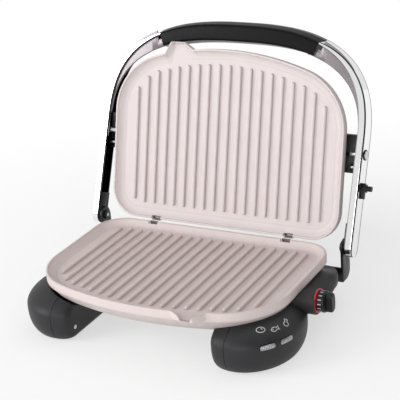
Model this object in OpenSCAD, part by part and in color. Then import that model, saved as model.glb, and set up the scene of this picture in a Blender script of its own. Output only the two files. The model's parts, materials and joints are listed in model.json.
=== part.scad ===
// Electric contact grill with a lid that floats between two chrome arms.
// Working axes: x to the right, y to the back, z up, zero at the rib tops of the lower plate.
// The finished part stands on z = 0 with the middle of its box above the origin.

/* [Plates] */
// Half width of a grill plate
plate_half_w = 165; // [150:1:175]
// Distance from the middle line of ribs to the back edge
plate_back = 120; // [112:1:128]
// Distance from the middle line of ribs to the front edge
plate_front = 113; // [106:1:118]
// Radius of the bowed front edge
front_radius = 370; // [340:5:420]
// Sideways offset of the front bow's highest point
front_apex_x = 8; // [0:1:12]
// Radius of the two front corners
front_corner_r = 80; // [70:1:88]
// Radius of the two back corners
back_corner_r = 38; // [25:1:45]
// Number of ribs on each plate
rib_count = 19; // [9:2:21]
// Distance from rib to rib
rib_pitch = 15; // [13:0.5:15]
// Width of one rib
rib_w = 4.6; // [3:0.2:6]
// Height of the ribs above the plate floor
rib_h = 4; // [3:0.5:5]
// Height of the rim above the rib tops
crest_h = 4; // [3:0.5:5]
// Thickness of the plate floor
floor_t = 4; // [3:0.5:5]
// Width of the flat crest of the rim
crest_w = 3; // [2:0.5:4]
// Width of the sloped inner face of the rim
slope_w = 9; // [6:0.5:10]
// Distance from the edge of the plate to the rib ends
rib_end_inset = 20; // [17:0.5:22]
// Sideways position of the pouring spout
spout_x = 74; // [60:1:85]
// Width of the spout where it leaves the rim
spout_base_w = 42; // [34:1:48]
// Width of the spout at its lip
spout_lip_w = 18; // [12:1:22]
// How far the lip reaches past the rim
spout_reach = 12; // [8:1:15]

/* [Hinge and lid] */
// Height of the hinge axis above the lower rib tops
hinge_z = 2.6; // [2.4:0.1:3.6]
// Distance of the hinge axis behind the back edge of the plate
hinge_behind = 2.4; // [2.2:0.1:4]
// Rib to rib gap with the lid shut
closed_gap = 8.6; // [8.6:0.1:10]
// Angle through which the lid opens
open_angle = 104.36; // [95:0.5:108]
// Lean of the open handle from the upright
handle_lean = 23; // [21:0.5:25]
// Distance along the arm from the hinge to the lid pivot
tilt_v = 117; // [110:1:122]

/* [Handle] */
// Distance from the side of the plates out to the outer face of the arms
arm_offset = 25; // [24:0.5:31]
// Height of the round part of the loop
loop_rise = 148; // [144:1:154]
// Distance from the hinge to the start of the round part
loop_straight = 128; // [124:1:132]
// Fullness of the loop's corners
loop_power = 2.7; // [2.4:0.1:3]
// Depth of the arms from front to back
arm_depth = 24; // [22:0.5:26]
// Wall of the chrome arms
arm_wall = 2.5; // [2:0.1:3]
// Width of the arm's front and back flanges
flange_w = 10; // [9:0.5:10]
// Width of the whole band at the grip
grip_h = 29; // [26:1:30]
// Half length of the grip
grip_half = 118; // [105:1:124]
// Depth of the grip from front to back
grip_depth = 27; // [25:0.5:29]
// Width of the screwed tab on the front of the grip
tab_w = 13; // [11:0.5:15]
// How far the tab overlaps the grip
tab_overlap = 21; // [17:1:25]
// Radius of the hinge pins
hinge_pin_r = 3.5; // [3:0.1:4]
// Radius of the lid pivot screws
lid_pin_r = 4; // [3.5:0.1:4.5]

/* [Base] */
// Height of the rib tops above the table
rib_top_z = 69; // [68:0.5:73]
// Depth of the lower housing under the plate
bowl_depth = 18; // [16:0.5:19]
// Wall of the plastic housings and pods
wall = 2.4; // [2:0.1:3]
// Distance from the side of the plates in to the middle of a front foot
foot_inset = 43; // [39:1:47]
// Middle of the front foot, forwards
foot_y = 37; // [32:1:42]
// Half width of the round front foot
foot_r = 61.5; // [57:0.5:64]
// Half length of the round front foot
foot_l = 75; // [68:1:78]
// Fullness of the front foot's underside
foot_power = 2.8; // [2.2:0.1:3.4]
// How far a pod reaches in under the plate
pod_under_w = 69; // [65:1:75]
// Width of a pod's inner shell
inner_shell_w = 22; // [16:1:26]
// Distance from the side of the plates out to the face of the side housing
side_offset = 24; // [21:0.5:25]
// Height of the rubber feet
rubber_h = 2; // [1.5:0.5:4]
// Radius of the rubber feet
rubber_r = 12; // [9:0.5:13]

/* [Controls] */
// Radius of the temperature knob
knob_r = 13.2; // [12:0.1:14]
// Length of the knob past the pod
knob_len = 16.5; // [14:0.5:18]
// Position of the knob axis towards the back
knob_y = 6; // [2:1:10]
// Drop of the knob axis below the rib tops
knob_drop = 15.5; // [14.5:0.5:17]
// Length of an indicator window
window_l = 18; // [14:1:20]
// Height of an indicator window
window_h = 6.5; // [5:0.5:8]
// Travel of the height slider along the right arm
slider_travel = 8; // [5:1:10]

/* [Lid housing] */
// Depth of the frame behind the upper plate
lid_frame_depth = 16; // [14:0.5:18]
// Depth of the cover behind the lid frame
lid_cover_depth = 14; // [11:0.5:16]

/* [Hidden] */
$fn = 48;

running = 0.06;
gap = 0.35;
eps = 0.01;
far = 1000;
knob_gap = 0.35;
ring_r = knob_r + 1.4;
ring_t = 1.8;
slider_reach = 11.5;
hinge_y = plate_back + hinge_behind;
bow_y = front_radius - plate_front;
loop_half_w = plate_half_w + arm_offset;
foot_x = plate_half_w - foot_inset;
pod_inner_x = plate_half_w - pod_under_w;
seam_x = pod_inner_x + inner_shell_w;
side_reach = plate_half_w + side_offset;
plate_bottom = -rib_h - floor_t;
bowl_inset = 4;
bowl_foot_inset = 19;
bowl_z = plate_bottom - bowl_depth;
pod_floor = rubber_h - rib_top_z;
knob_seat_x = side_reach - 0.5;
knob_tip_x = knob_seat_x + ring_t + knob_gap + knob_len;
screw_head_t = 0.8;
part_left = loop_half_w + screw_head_t;
part_right = knob_tip_x;
handle_top_v = loop_straight + loop_rise;
part_back = hinge_y + handle_top_v * sin(handle_lean) + grip_depth / 2 * cos(handle_lean);
part_front = spout_reach - front_edge(spout_x, 0);
mid_x = (part_right - part_left) / 2;
mid_y = (part_back - part_front) / 2;
rib_back = plate_back - rib_end_inset;
// Place of the lid pivot in the plate's own axes
close_turn = open_angle - handle_lean;
tilt_y = hinge_y - tilt_v * sin(close_turn);
tilt_z = closed_gap - hinge_z - tilt_v * cos(close_turn);

function arc(cx, cy, r, a, b, n) =
    [for (i = [0:n]) [cx + r * cos(a + (b - a) * i / n), cy + r * sin(a + (b - a) * i / n)]];

// Centre height of a front corner circle, tangent to the side and to the bowed front
function corner_dx(side) = side * (plate_half_w - front_corner_r) - front_apex_x;
function corner_dy(side) =
    sqrt(pow(front_radius - front_corner_r, 2) - pow(corner_dx(side), 2));
function corner_y(side) = bow_y - corner_dy(side);
function corner_turn(side) = atan2(-corner_dy(side), corner_dx(side));

// Outline of a plate, drawn in by inset, counter-clockwise from the right front corner
function outline(inset) = concat(
    arc(plate_half_w - back_corner_r, plate_back - back_corner_r, back_corner_r - inset, 0, 90, 8),
    arc(back_corner_r - plate_half_w, plate_back - back_corner_r, back_corner_r - inset, 90, 180, 8),
    arc(front_corner_r - plate_half_w, corner_y(-1), front_corner_r - inset,
        180, 360 + corner_turn(-1), 12),
    arc(front_apex_x, bow_y, front_radius - inset,
        360 + corner_turn(-1), 360 + corner_turn(1), 12),
    arc(plate_half_w - front_corner_r, corner_y(1), front_corner_r - inset,
        corner_turn(1), 0, 12));

// Front edge of the outline at a given x, drawn in by inset
function corner_side(x) = x < front_corner_r - plate_half_w ? -1 : x > plate_half_w - front_corner_r ? 1 : 0;
function front_edge(x, inset) = corner_side(x) == 0
    ? bow_y - sqrt(pow(front_radius - inset, 2) - pow(x - front_apex_x, 2))
    : corner_y(corner_side(x)) - sqrt(pow(front_corner_r - inset, 2)
        - pow(x - corner_side(x) * (plate_half_w - front_corner_r), 2));

// Half loop of the handle in its own plane: x sideways, y along the arms from the hinge
function loop_point(half_w, rise, a) =
    [half_w * sign(cos(a)) * pow(abs(cos(a)), 2 / loop_power),
     loop_straight + rise * pow(sin(a), 2 / loop_power)];
function loop(half_w, rise) = concat(
    [[half_w, -60]],
    [for (a = [0:5:180]) loop_point(half_w, rise, a)],
    [[-half_w, -60]]);
band_half_w = loop_half_w - flange_w - 1;
band_rise = loop_rise - grip_h;
flange_rise = loop_rise - flange_w + 2;
function band_height(x) =
    loop_straight + band_rise * pow(1 - pow(abs(x) / band_half_w, loop_power), 1 / loop_power);

module plate_layer(inset, z, h) translate([0, 0, z]) linear_extrude(h) polygon(outline(inset));

module taper(inset_low, z_low, inset_high, z_high) hull() {
    plate_layer(inset_low, z_low, eps);
    plate_layer(inset_high, z_high - eps, eps);
}

// Moves a piece drawn in the plate's axes to the open lid
module lid_axes()
    translate([0, hinge_y, hinge_z]) rotate([-open_angle, 0, 0])
    translate([0, -hinge_y, closed_gap - hinge_z]) rotate([0, 180, 0]) children();

// Moves a piece drawn in the handle's plane to its open place
module handle_axes() translate([0, hinge_y, hinge_z]) rotate([90 - handle_lean, 0, 0]) children();

// Moves the finished piece to the part's own origin
module placed() translate([-mid_x, -mid_y, rib_top_z]) children();

module both_sides() {
    children();
    mirror([1, 0, 0]) children();
}

module x_rod(x1, x2, r) translate([x1, 0, 0]) rotate([0, 90, 0]) cylinder(r = r, h = x2 - x1);

module y_rod(y1, y2, r) translate([0, y2, 0]) rotate([90, 0, 0]) cylinder(r = r, h = y2 - y1);

// Plates

rib_reach = (rib_count - 1) / 2;
catch_x = plate_half_w - 68;
catch_w = 12;
catch_t = 1.6;
catch_hook = 3.2;
catch_ledge = 5;

module rib(x) {
    y1 = front_edge(x, rib_end_inset) + rib_w / 2;
    y2 = rib_back - rib_w / 2 - (abs(x) > plate_half_w - back_corner_r ? 3 : 0);
    translate([x, 0, -rib_h - eps]) linear_extrude(rib_h + eps) {
        translate([-rib_w / 2, y1]) square([rib_w, y2 - y1]);
        translate([0, y1]) circle(d = rib_w);
        translate([0, y2]) circle(d = rib_w);
    }
}

module spout_outline(trim) {
    rim_y = front_edge(spout_x, 0);
    polygon([
        [spout_x - spout_base_w / 2 + trim, rim_y + crest_w + slope_w],
        [spout_x - spout_base_w / 2 + trim, rim_y + 2],
        [spout_x - spout_lip_w / 2 + trim, rim_y - spout_reach + trim],
        [spout_x + spout_lip_w / 2 - trim, rim_y - spout_reach + trim],
        [spout_x + spout_base_w / 2 - trim, rim_y + 2],
        [spout_x + spout_base_w / 2 - trim, rim_y + crest_w + slope_w]]);
}

module plate_casting() {
    difference() {
        union() {
            plate_layer(0, plate_bottom, crest_h - plate_bottom);
            translate([0, 0, plate_bottom + 3.5])
                linear_extrude(crest_h - plate_bottom - 3.5) spout_outline(0);
        }
        taper(crest_w + slope_w, -rib_h, crest_w, crest_h + 2 * eps);
        translate([0, 0, -rib_h + 2.5]) linear_extrude(rib_h + crest_h) spout_channel();
        both_sides() catch_notch();
    }
    for (i = [-rib_reach:rib_reach]) rib(i * rib_pitch);
}

// Open channel of the spout, through the rim and out at the lip
module spout_channel() {
    rim_y = front_edge(spout_x, 0);
    polygon([
        [spout_x - spout_base_w / 2 + 5, rim_y + crest_w + slope_w],
        [spout_x - spout_lip_w / 2 + 3, rim_y - spout_reach - 1],
        [spout_x + spout_lip_w / 2 - 3, rim_y - spout_reach - 1],
        [spout_x + spout_base_w / 2 - 5, rim_y + crest_w + slope_w]]);
}

module catch_notch()
    translate([catch_x - catch_w / 2 - gap, plate_back - catch_hook - gap, plate_bottom + catch_ledge])
        cube([catch_w + 2 * gap, catch_hook + 2 * gap, crest_h - plate_bottom]);

// Spring catch that grips the ledge at the back edge of a plate
module plate_catch() translate([catch_x - catch_w / 2, plate_back, 0]) {
    translate([0, eps, plate_bottom - 9]) cube([catch_w, catch_t, 12.5 - plate_bottom]);
    translate([0, -catch_hook, plate_bottom + catch_ledge + eps])
        cube([catch_w, catch_hook + catch_t, catch_t]);
    translate([0, -bowl_inset - 1.5, plate_bottom - 9])
        cube([catch_w, bowl_inset + 1.5 + catch_t, catch_t]);
}

module lower_plate() color("#d0c6c6") placed() plate_casting();
module upper_plate() color("#dcd3d2") placed() lid_axes() plate_casting();
module lower_plate_catches() color("#9a9a9c") placed() both_sides() plate_catch();
module upper_plate_catches() color("#9a9a9c") placed() lid_axes() both_sides() plate_catch();

// Housings, reflectors and heating elements

element_r = 3.3;
element_y = 62;
element_x = plate_half_w - 47;
element_z = plate_bottom - element_r - eps;
tray_z = bowl_z + wall + 1.5;
tray_t = 0.8;

module bowl(depth, foot_inset) difference() {
    taper(foot_inset, plate_bottom - depth, bowl_inset, plate_bottom);
    taper(foot_inset + wall, plate_bottom - depth + wall, bowl_inset + wall, plate_bottom + 2 * eps);
    both_sides() catch_slot();
}

module catch_slot() translate([catch_x - catch_w / 2 - gap, plate_back - 12, plate_bottom - 9 - gap])
    cube([catch_w + 2 * gap, 14, catch_t + 2 * gap]);

module reflector(z) difference() {
    taper(bowl_foot_inset + 6, z, bowl_foot_inset + 4, z + 4);
    taper(bowl_foot_inset + 6 + tray_t, z + tray_t, bowl_foot_inset + 4 + tray_t, z + 4 + 2 * eps);
}

// One U-shaped tubular element with its cold ends turned down at the back
module heating_tube() translate([0, 0, element_z]) {
    bend = 34;
    for (s = [-1, 1]) {
        translate([s * element_x, 0, 0]) y_rod(bend - element_y, element_y - 4, element_r);
        translate([s * (element_x - bend), bend - element_y, 0]) rotate([0, 0, s > 0 ? -90 : 180])
            rotate_extrude(angle = 90) translate([bend, 0]) circle(r = element_r);
    }
    translate([0, -element_y, 0]) x_rod(bend - element_x, element_x - bend, element_r);
}

module element_clip(x, y, z) translate([x - 4, y - element_r - 2.2, z]) difference() {
    cube([8, 2 * element_r + 4.4, element_z - z]);
    translate([-1, element_r + 2.2, element_z - z]) x_rod(0, 10, element_r + 0.05);
    translate([-1, 2.2, -1]) cube([10, 2 * element_r, element_z - z - element_r]);
}

module element_clips(z) {
    for (x = [-element_x / 2, element_x / 2]) element_clip(x, -element_y, z);
    for (x = [-element_x, element_x]) translate([x, 20, 0]) rotate([0, 0, 90]) element_clip(0, 0, z);
}

module lower_housing() color("#b9adab") placed() bowl(bowl_depth, bowl_foot_inset);
module lower_reflector() color("#c8c9cc") placed() reflector(tray_z);
module lower_heating_element() color("#55504e") placed() heating_tube();
module lower_element_clips() color("#b0b0b2") placed() element_clips(tray_z + tray_t);

lid_foot_inset = 13;
module lid_frame() color("#b9adab") placed() lid_axes() difference() {
    taper(lid_foot_inset, plate_bottom - lid_frame_depth, bowl_inset, plate_bottom);
    taper(lid_foot_inset + wall, plate_bottom - lid_frame_depth - eps, bowl_inset + wall,
        plate_bottom + 2 * eps);
    both_sides() catch_slot();
    both_sides() lid_bracket_holes(1.95);
}

lid_back_z = plate_bottom - lid_frame_depth;
cover_inset = 42;
module lid_cover() color("#3d3d40") placed() lid_axes() difference() {
    hull() {
        plate_layer(lid_foot_inset, lid_back_z - 3, 3 - eps);
        plate_layer(cover_inset - 16, lid_back_z - lid_cover_depth + 4, eps);
        plate_layer(cover_inset, lid_back_z - lid_cover_depth, eps);
    }
    hull() {
        plate_layer(lid_foot_inset + wall, lid_back_z - 3, 3 + eps);
        plate_layer(cover_inset - 16 + wall, lid_back_z - lid_cover_depth + 4 + wall, eps);
        plate_layer(cover_inset + wall, lid_back_z - lid_cover_depth + wall, eps);
    }
}
upper_tray_z = plate_bottom - lid_frame_depth + 1.5;
module upper_reflector() color("#c8c9cc") placed() lid_axes() reflector(upper_tray_z);
module upper_heating_element() color("#55504e") placed() lid_axes() heating_tube();
module upper_element_clips() color("#b0b0b2") placed() lid_axes() element_clips(upper_tray_z + tray_t);

// Pods

dome_z = -34.4;
dome_h = 26;
foot_drop = 48.5;
side_z = -23;
side_h = 19;
side_w = 52;
pod_back = plate_back - 8.3;
leg_x = foot_x + 10;
leg_r = 17.6;
leg_taper = 2;
leg_y = pod_back - leg_r - 0.1;
heel_y = 18;
heel_top = -44;
bridge_front = 70;
bridge_w = 64;
bridge_drop = 9;
bridge_h = 22;

module egg(x, y, z, rx, ry, rz) translate([x, y, z]) scale([rx, ry, rz]) sphere(r = 1, $fn = 40);

// Share of the front foot's width at height z: a dome above its widest line, a full belly below
function foot_share(z) = z > dome_z
    ? sqrt(max(0, 1 - pow((z - dome_z) / dome_h, 2)))
    : pow(1 - pow((dome_z - z) / foot_drop, foot_power), 1 / foot_power);

module front_foot(trim) {
    belly = dome_z - pod_floor - trim;
    crown = dome_h - trim;
    translate([foot_x, -foot_y, 0]) scale([1, (foot_l - trim) / (foot_r - trim), 1])
        rotate_extrude($fn = 44) polygon(concat(
            [[0, dome_z + crown], [0, pod_floor + trim]],
            [for (a = [90:-10:0]) let (z = dome_z - belly * sin(a)) [(foot_r - trim) * foot_share(z), z]],
            [for (a = [12:12:84]) [(foot_r - trim) * cos(a), dome_z + crown * sin(a)]]));
}

// Solid form of the right pod, drawn in by trim for its hollow
module pod_form(trim) {
    front_foot(trim);
    hull() {
        egg(side_reach - side_w, knob_y + 6, side_z, side_w - trim, 26 - trim, side_h - trim);
        egg(side_reach - side_w - 4, knob_y + 42, side_z, side_w + 3 - trim, 58 - trim, side_h - trim);
        translate([pod_inner_x, bridge_front, side_z - bridge_h / 2 - bridge_drop + trim])
            cube([bridge_w - trim, pod_back - bridge_front - trim, bridge_h - 2 * trim]);
    }
    translate([leg_x, leg_y, pod_floor + trim])
        cylinder(r1 = leg_r - leg_taper - trim, r2 = leg_r - trim, h = side_z - pod_floor);
    hull() for (y = [leg_y, leg_y + heel_y]) translate([leg_x, y, pod_floor + trim])
        cylinder(r1 = leg_r - leg_taper - trim, r2 = leg_r - 1 - trim, h = heel_top - pod_floor - 2 * trim);
}

module tray_room(grow) translate([0, 0, -grow / 2])
    taper(bowl_foot_inset - grow, bowl_z, bowl_inset - grow, plate_bottom + grow);

module above_rim() translate([-far / 2, -far / 2, plate_bottom - gap]) cube([far, far, far]);
module below_floor() translate([-far / 2, -far / 2, pod_floor - far]) cube([far, far, far]);

module pod_body() difference() {
    pod_form(0);
    tray_room(gap);
    above_rim();
    below_floor();
}

module pod_hollow() difference() {
    pod_form(wall);
    tray_room(gap + wall);
    translate([0, 0, -wall]) above_rim();
    translate([0, 0, wall]) below_floor();
}

module side_block(x1, x2) translate([x1, -far / 2, -far / 2]) cube([x2 - x1, far, far]);

// Flat round seat for the knob on the side of the right pod
module knob_seat(r, x1) translate([0, knob_y, -knob_drop]) x_rod(x1, knob_seat_x, r);

module pod_cover() difference() {
    intersection() {
        pod_body();
        side_block(seam_x, far);
    }
    difference() {
        pod_hollow();
        side_block(0, seam_x - 1);
    }
    bracket_holes(2.05);
}

screw_y = -91;
screw_z = -52;
bridge_screw_z = side_z - 15;
module pod_inner_shell() difference() {
    intersection() {
        pod_body();
        side_block(pod_inner_x, seam_x - 0.2);
    }
    intersection() {
        pod_hollow();
        side_block(pod_inner_x + wall, seam_x + 1);
    }
    translate([0, screw_y, screw_z]) x_rod(pod_inner_x - 1, pod_inner_x + wall + 1, 3.2);
    translate([0, leg_y, bridge_screw_z]) x_rod(pod_inner_x - 1, pod_inner_x + wall + 1, 3.2);
}

module bracket_holes(r) for (x = bracket_screws_at)
    translate([bracket_x - bracket_len + x, 0, bracket_mid]) y_rod(pod_back - 8, bracket_y + 10, r);

// Window pockets follow the round face of the front foot
window_turns = [-46, -24];
window_rise = 3.5;
window_pitch = atan2(foot_r * sin(window_rise), dome_h * cos(window_rise));
module at_window(turn) translate([
        foot_x + foot_r * cos(window_rise) * cos(turn),
        -foot_y + foot_l * cos(window_rise) * sin(turn),
        dome_z + dome_h * sin(window_rise)])
    rotate([0, -window_pitch, atan2(foot_r * sin(turn), foot_l * cos(turn))])
    children();

module window_box(grow, x1, x2) translate([x1, -window_l / 2 - grow, -window_h / 2 - grow])
    cube([x2 - x1, window_l + 2 * grow, window_h + 2 * grow]);

module right_pod_form() difference() {
    union() {
        pod_cover();
        difference() {
            knob_seat(ring_r + 2.4, side_reach - side_w / 3);
            knob_seat(ring_r, side_reach - side_w);
        }
        knob_wall();
    }
    knob_bore();
    for (t = window_turns) at_window(t) window_box(gap / 2, -8, 6);
}

module knob_wall() translate([0, knob_y, -knob_drop])
    x_rod(knob_seat_x - ring_t - wall, knob_seat_x - ring_t, ring_r + 1);

module knob_bore() translate([0, knob_y, -knob_drop]) {
    x_rod(knob_seat_x - ring_t, knob_seat_x + 1, ring_r + 0.05);
    x_rod(side_reach - 30, knob_seat_x + 1, 5);
}

module left_pod_cover() color("#454548") placed() mirror([1, 0, 0]) pod_cover();
module right_pod_cover() color("#454548") placed() right_pod_form();
module left_pod_inner_shell() color("#3a3a3c") placed() mirror([1, 0, 0]) pod_inner_shell();
module right_pod_inner_shell() color("#3a3a3c") placed() difference() {
    pod_inner_shell();
    translate([gland_x, 0, bracket_mid]) y_rod(pod_back - 10, pod_back + 1, gland_neck_r + 0.05);
}

module pod_screw(y, z) translate([0, y, z]) {
    x_rod(pod_inner_x + 0.2, pod_inner_x + 1.8, 2.9);
    x_rod(pod_inner_x + 1.7, seam_x - 3, 1.9);
}
module pod_screws() color("#8c8c8e") placed() both_sides() {
    pod_screw(screw_y, screw_z);
    pod_screw(leg_y, bridge_screw_z);
}

module rubber_foot() cylinder(r1 = rubber_r - 1, r2 = rubber_r, h = rubber_h);
module rubber_feet() color("#1c1c1d") placed() translate([0, 0, -rib_top_z]) both_sides() {
    translate([foot_x + 12, -foot_y - 38, 0]) rubber_foot();
    translate([leg_x, leg_y + heel_y, 0]) rubber_foot();
}

// Hinge brackets, blocks and pins

bracket_t = 3;
bracket_x = loop_half_w - 13;
bracket_top = side_z;
bracket_bottom = side_z - bridge_h / 2 - bridge_drop + 1;
bracket_mid = (bracket_top + bracket_bottom) / 2;
bracket_screws_at = [12, 30];
bracket_y = pod_back + gap / 2;
ear_r = 11;
bracket_len = 54;
block_x1 = bracket_x + gap;
block_x2 = loop_half_w - arm_wall;

module side_profile() {
    translate([hinge_y, hinge_z]) circle(r = ear_r);
    translate([hinge_y - ear_r + 1, bracket_bottom + 12])
        square([2 * ear_r, hinge_z - bracket_bottom - 12]);
    translate([bracket_y, bracket_bottom]) square([12, 20]);
    translate([bracket_y + 12, bracket_bottom + 12]) circle(r = 12);
    translate([bracket_y + 11, bracket_bottom + 12]) square([13, 12]);
}

module hinge_bracket() {
    difference() {
        translate([bracket_x, 0, 0]) rotate([90, 0, -90]) mirror([1, 0, 0])
            linear_extrude(bracket_t) side_profile();
        translate([0, hinge_y, hinge_z]) x_rod(bracket_x - bracket_t - 1, bracket_x + 1, hinge_pin_r);
    }
    difference() {
        translate([bracket_x - bracket_len, bracket_y, bracket_bottom])
            cube([bracket_len - 1, bracket_t, bracket_top - bracket_bottom]);
        bracket_holes(2.1);
    }
}

module bracket_screw(x) translate([bracket_x - bracket_len + x, 0, bracket_mid]) {
    y_rod(pod_back - wall, bracket_y + bracket_t, 2);
    y_rod(bracket_y + bracket_t, bracket_y + bracket_t + 2, 3.8);
}

module hinge_pin() translate([0, hinge_y, hinge_z]) {
    x_rod(bracket_x - bracket_t - 3, bracket_x - bracket_t, hinge_pin_r + 2.6);
    x_rod(bracket_x - bracket_t - eps, block_x2 - 1, hinge_pin_r);
}

module left_hinge_bracket() color("#1e1e20") placed() mirror([1, 0, 0]) hinge_bracket();
module right_hinge_bracket() color("#1e1e20") placed() hinge_bracket();
module bracket_screws() color("#8c8c8e") placed() both_sides()
    for (x = bracket_screws_at) bracket_screw(x);
module left_hinge_pin() color("#b8b9bc") placed() mirror([1, 0, 0]) hinge_pin();
module right_hinge_pin() color("#b8b9bc") placed() hinge_pin();

// Handle

tail_r = arm_depth / 2;
block_up = 30;
block_depth = arm_depth - 2 * arm_wall - 0.1;
web_front = arm_depth / 2 - 3;
web_t = 3;
slot_v = 72;
slot_w = 4;
slot_n = -4;

module loop_band(outer_w, outer_rise, inner_w, inner_rise) difference() {
    polygon(loop(outer_w, outer_rise));
    polygon(loop(inner_w, inner_rise));
}

module extrude_n(n1, n2) translate([0, 0, n1]) linear_extrude(n2 - n1) children();

// Side profile of the arm: straight, with a round end about the hinge
module arm_profile() {
    circle(r = tail_r);
    translate([0, -tail_r]) square([far, 2 * tail_r]);
}

module arm_trim() rotate([0, 0, 90]) rotate([90, 0, 0])
    linear_extrude(far, center = true) arm_profile();

module arm_tab() {
    tab_v = band_height(grip_half) + tab_w / 2 + 1;
    end_x = grip_half - tab_overlap;
    end_v = band_height(end_x) + tab_w / 2;
    difference() {
        intersection() {
            extrude_n(web_front - web_t, web_front)
                loop_band(band_half_w + tab_w, band_rise + tab_w, band_half_w, band_rise);
            translate([end_x, loop_straight, -far / 2]) cube([grip_half - end_x + 1, far, far]);
        }
        translate([end_x + tab_w / 2, end_v - 1, -30]) cylinder(r = 2.2, h = 60);
    }
}

module arm(slotted) difference() {
    intersection() {
        union() {
            difference() {
                extrude_n(-arm_depth / 2, arm_depth / 2)
                    loop_band(loop_half_w, loop_rise, loop_half_w - flange_w, flange_rise);
                extrude_n(arm_wall - arm_depth / 2, arm_depth / 2 - arm_wall)
                    loop_band(loop_half_w - arm_wall, loop_rise - arm_wall,
                        loop_half_w - flange_w - 5, flange_rise - 5);
            }
            intersection() {
                extrude_n(web_front - web_t, web_front)
                    loop_band(loop_half_w - arm_wall / 2, loop_rise - arm_wall / 2,
                        band_half_w, band_rise);
                translate([0, loop_straight, -far / 2]) cube([far, far, far]);
            }
            translate([0, tilt_v, 0]) x_rod(loop_half_w - flange_w, loop_half_w - 1, lid_pin_r + 4);
        }
        translate([grip_half, -far / 2, -far / 2]) cube([far, far, far]);
        arm_trim();
    }
    translate([0, tilt_v, 0]) {
        x_rod(0, far, lid_pin_r + running);
        x_rod(loop_half_w - 1, far, lid_pin_r + 1.6);
    }
    if (slotted) translate([0, slot_v, slot_n]) slider_slot();
}

module slider_slot() translate([loop_half_w - arm_wall - 1, -10 - gap, -slot_w / 2 - gap])
    cube([arm_wall + 2, 20 + slider_travel + 2 * gap, slot_w + 2 * gap]);

module left_arm() color("#dcdde0") placed() handle_axes() mirror([1, 0, 0]) {
    arm(false);
    arm_tab();
}
module right_arm() color("#dcdde0") placed() handle_axes() {
    arm(true);
    arm_tab();
}

module grip_solid() intersection() {
    extrude_n(-grip_depth / 2, grip_depth / 2) loop_band(loop_half_w, loop_rise, band_half_w, band_rise);
    translate([-grip_half + 0.1, loop_straight, -far / 2]) cube([2 * grip_half - 0.2, far, far]);
}

module tab_room() both_sides() translate([0, 0, web_front - web_t - eps]) linear_extrude(grip_depth)
    intersection() {
        loop_band(band_half_w + tab_w + 0.2, band_rise + tab_w + 0.2, band_half_w - 5, band_rise - 5);
        translate([grip_half - tab_overlap - 0.2, loop_straight]) square([far, far]);
    }

module grip_hollow() intersection() {
    extrude_n(3 - grip_depth / 2, grip_depth / 2 - 3.4)
        loop_band(loop_half_w - 3, loop_rise - 3, band_half_w + 3, band_rise + 3);
    translate([-grip_half + tab_overlap + 6, loop_straight, -far / 2])
        cube([2 * (grip_half - tab_overlap - 6), far, far]);
}

module grip_screw_place() {
    end_x = grip_half - tab_overlap;
    translate([end_x + tab_w / 2, band_height(end_x) + tab_w / 2 - 1, 0]) children();
}

module grip_front() color("#202022") placed() handle_axes() difference() {
    grip_solid();
    grip_hollow();
    tab_room();
    translate([0, 0, -far / 2]) cube([far, far, far], center = true);
    both_sides() grip_screw_place() cylinder(r = 1.9, h = 30);
}

module grip_back() color("#202022") placed() handle_axes() difference() {
    grip_solid();
    grip_hollow();
    translate([0, 0, far / 2 - eps]) cube([far, far, far], center = true);
    both_sides() grip_screw_place() translate([0, 0, -6]) cylinder(r = 1.9, h = 30);
}

module grip_screws() color("#8c8c8e") placed() handle_axes() both_sides() grip_screw_place() {
    translate([0, 0, web_front]) cylinder(r = 3.4, h = 1.6);
    translate([0, 0, -5.5]) cylinder(r = 1.8, h = web_front + 5.6);
}

module hinge_block() difference() {
    intersection() {
        translate([block_x1, -tail_r - 1, -block_depth / 2])
            cube([block_x2 - block_x1 - 0.05, block_up + tail_r + 1, block_depth]);
        union() {
            x_rod(block_x1 - 1, block_x2 + 1, block_depth / 2);
            translate([block_x1 - 1, 0, -block_depth / 2 - 1])
                cube([40, block_up + 20, block_depth + 2]);
        }
    }
    x_rod(block_x1 - 1, block_x2 + 1, hinge_pin_r + running);
}

module left_hinge_block() color("#1e1e20") placed() handle_axes() mirror([1, 0, 0]) hinge_block();
module right_hinge_block() color("#1e1e20") placed() handle_axes() hinge_block();

// Height slider on the right arm

slider_len = 20;
module height_slider() color("#1e1e20") placed() handle_axes()
    translate([0, slot_v, slot_n]) {
        translate([loop_half_w + gap, -slider_len / 2, -slot_w])
            cube([2, slider_len, 2 * slot_w]);
        translate([loop_half_w - arm_wall - 0.8, -slider_len / 2 + gap, -slot_w / 2])
            cube([arm_wall + 2, slider_len - 2 * gap, slot_w]);
        translate([0, 3.5, 0]) x_rod(loop_half_w + 2, loop_half_w + slider_reach, 3.4);
        translate([loop_half_w + 2, -1.5, -slot_w]) cube([2.6, 10, 2 * slot_w]);
    }

module slider_retainer() color("#8c8c8e") placed() handle_axes()
    translate([loop_half_w - arm_wall - 0.8 - 1.2, slot_v - slider_len / 2 + 1, slot_n - slot_w])
        cube([1.2, slider_len - 2, 2 * slot_w]);

// Lid brackets and pivots

lid_bracket_x = loop_half_w - flange_w - 2.4;
lid_bracket_l = 48;
lid_bracket_h = 12.5;
function bowl_x(z) = plate_half_w - bowl_inset
    - (lid_foot_inset - bowl_inset) * (plate_bottom - z) / lid_frame_depth;

module lid_bracket() difference() {
    translate([bowl_x(plate_bottom) - 12, tilt_y - lid_bracket_l / 2, plate_bottom - gap - lid_bracket_h])
        cube([lid_bracket_x - bowl_x(plate_bottom) + 12, lid_bracket_l, lid_bracket_h]);
    taper(lid_foot_inset - 0.05, plate_bottom - lid_frame_depth, bowl_inset - 0.05, plate_bottom);
    translate([0, tilt_y, tilt_z]) x_rod(bowl_x(tilt_z) - 5, far, lid_pin_r);
    lid_bracket_holes(2);
    translate([lid_bracket_x - 6, tilt_y + lid_bracket_l / 2 - 12, plate_bottom - 4])
        cube([20, 9, 8]);
}

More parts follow.
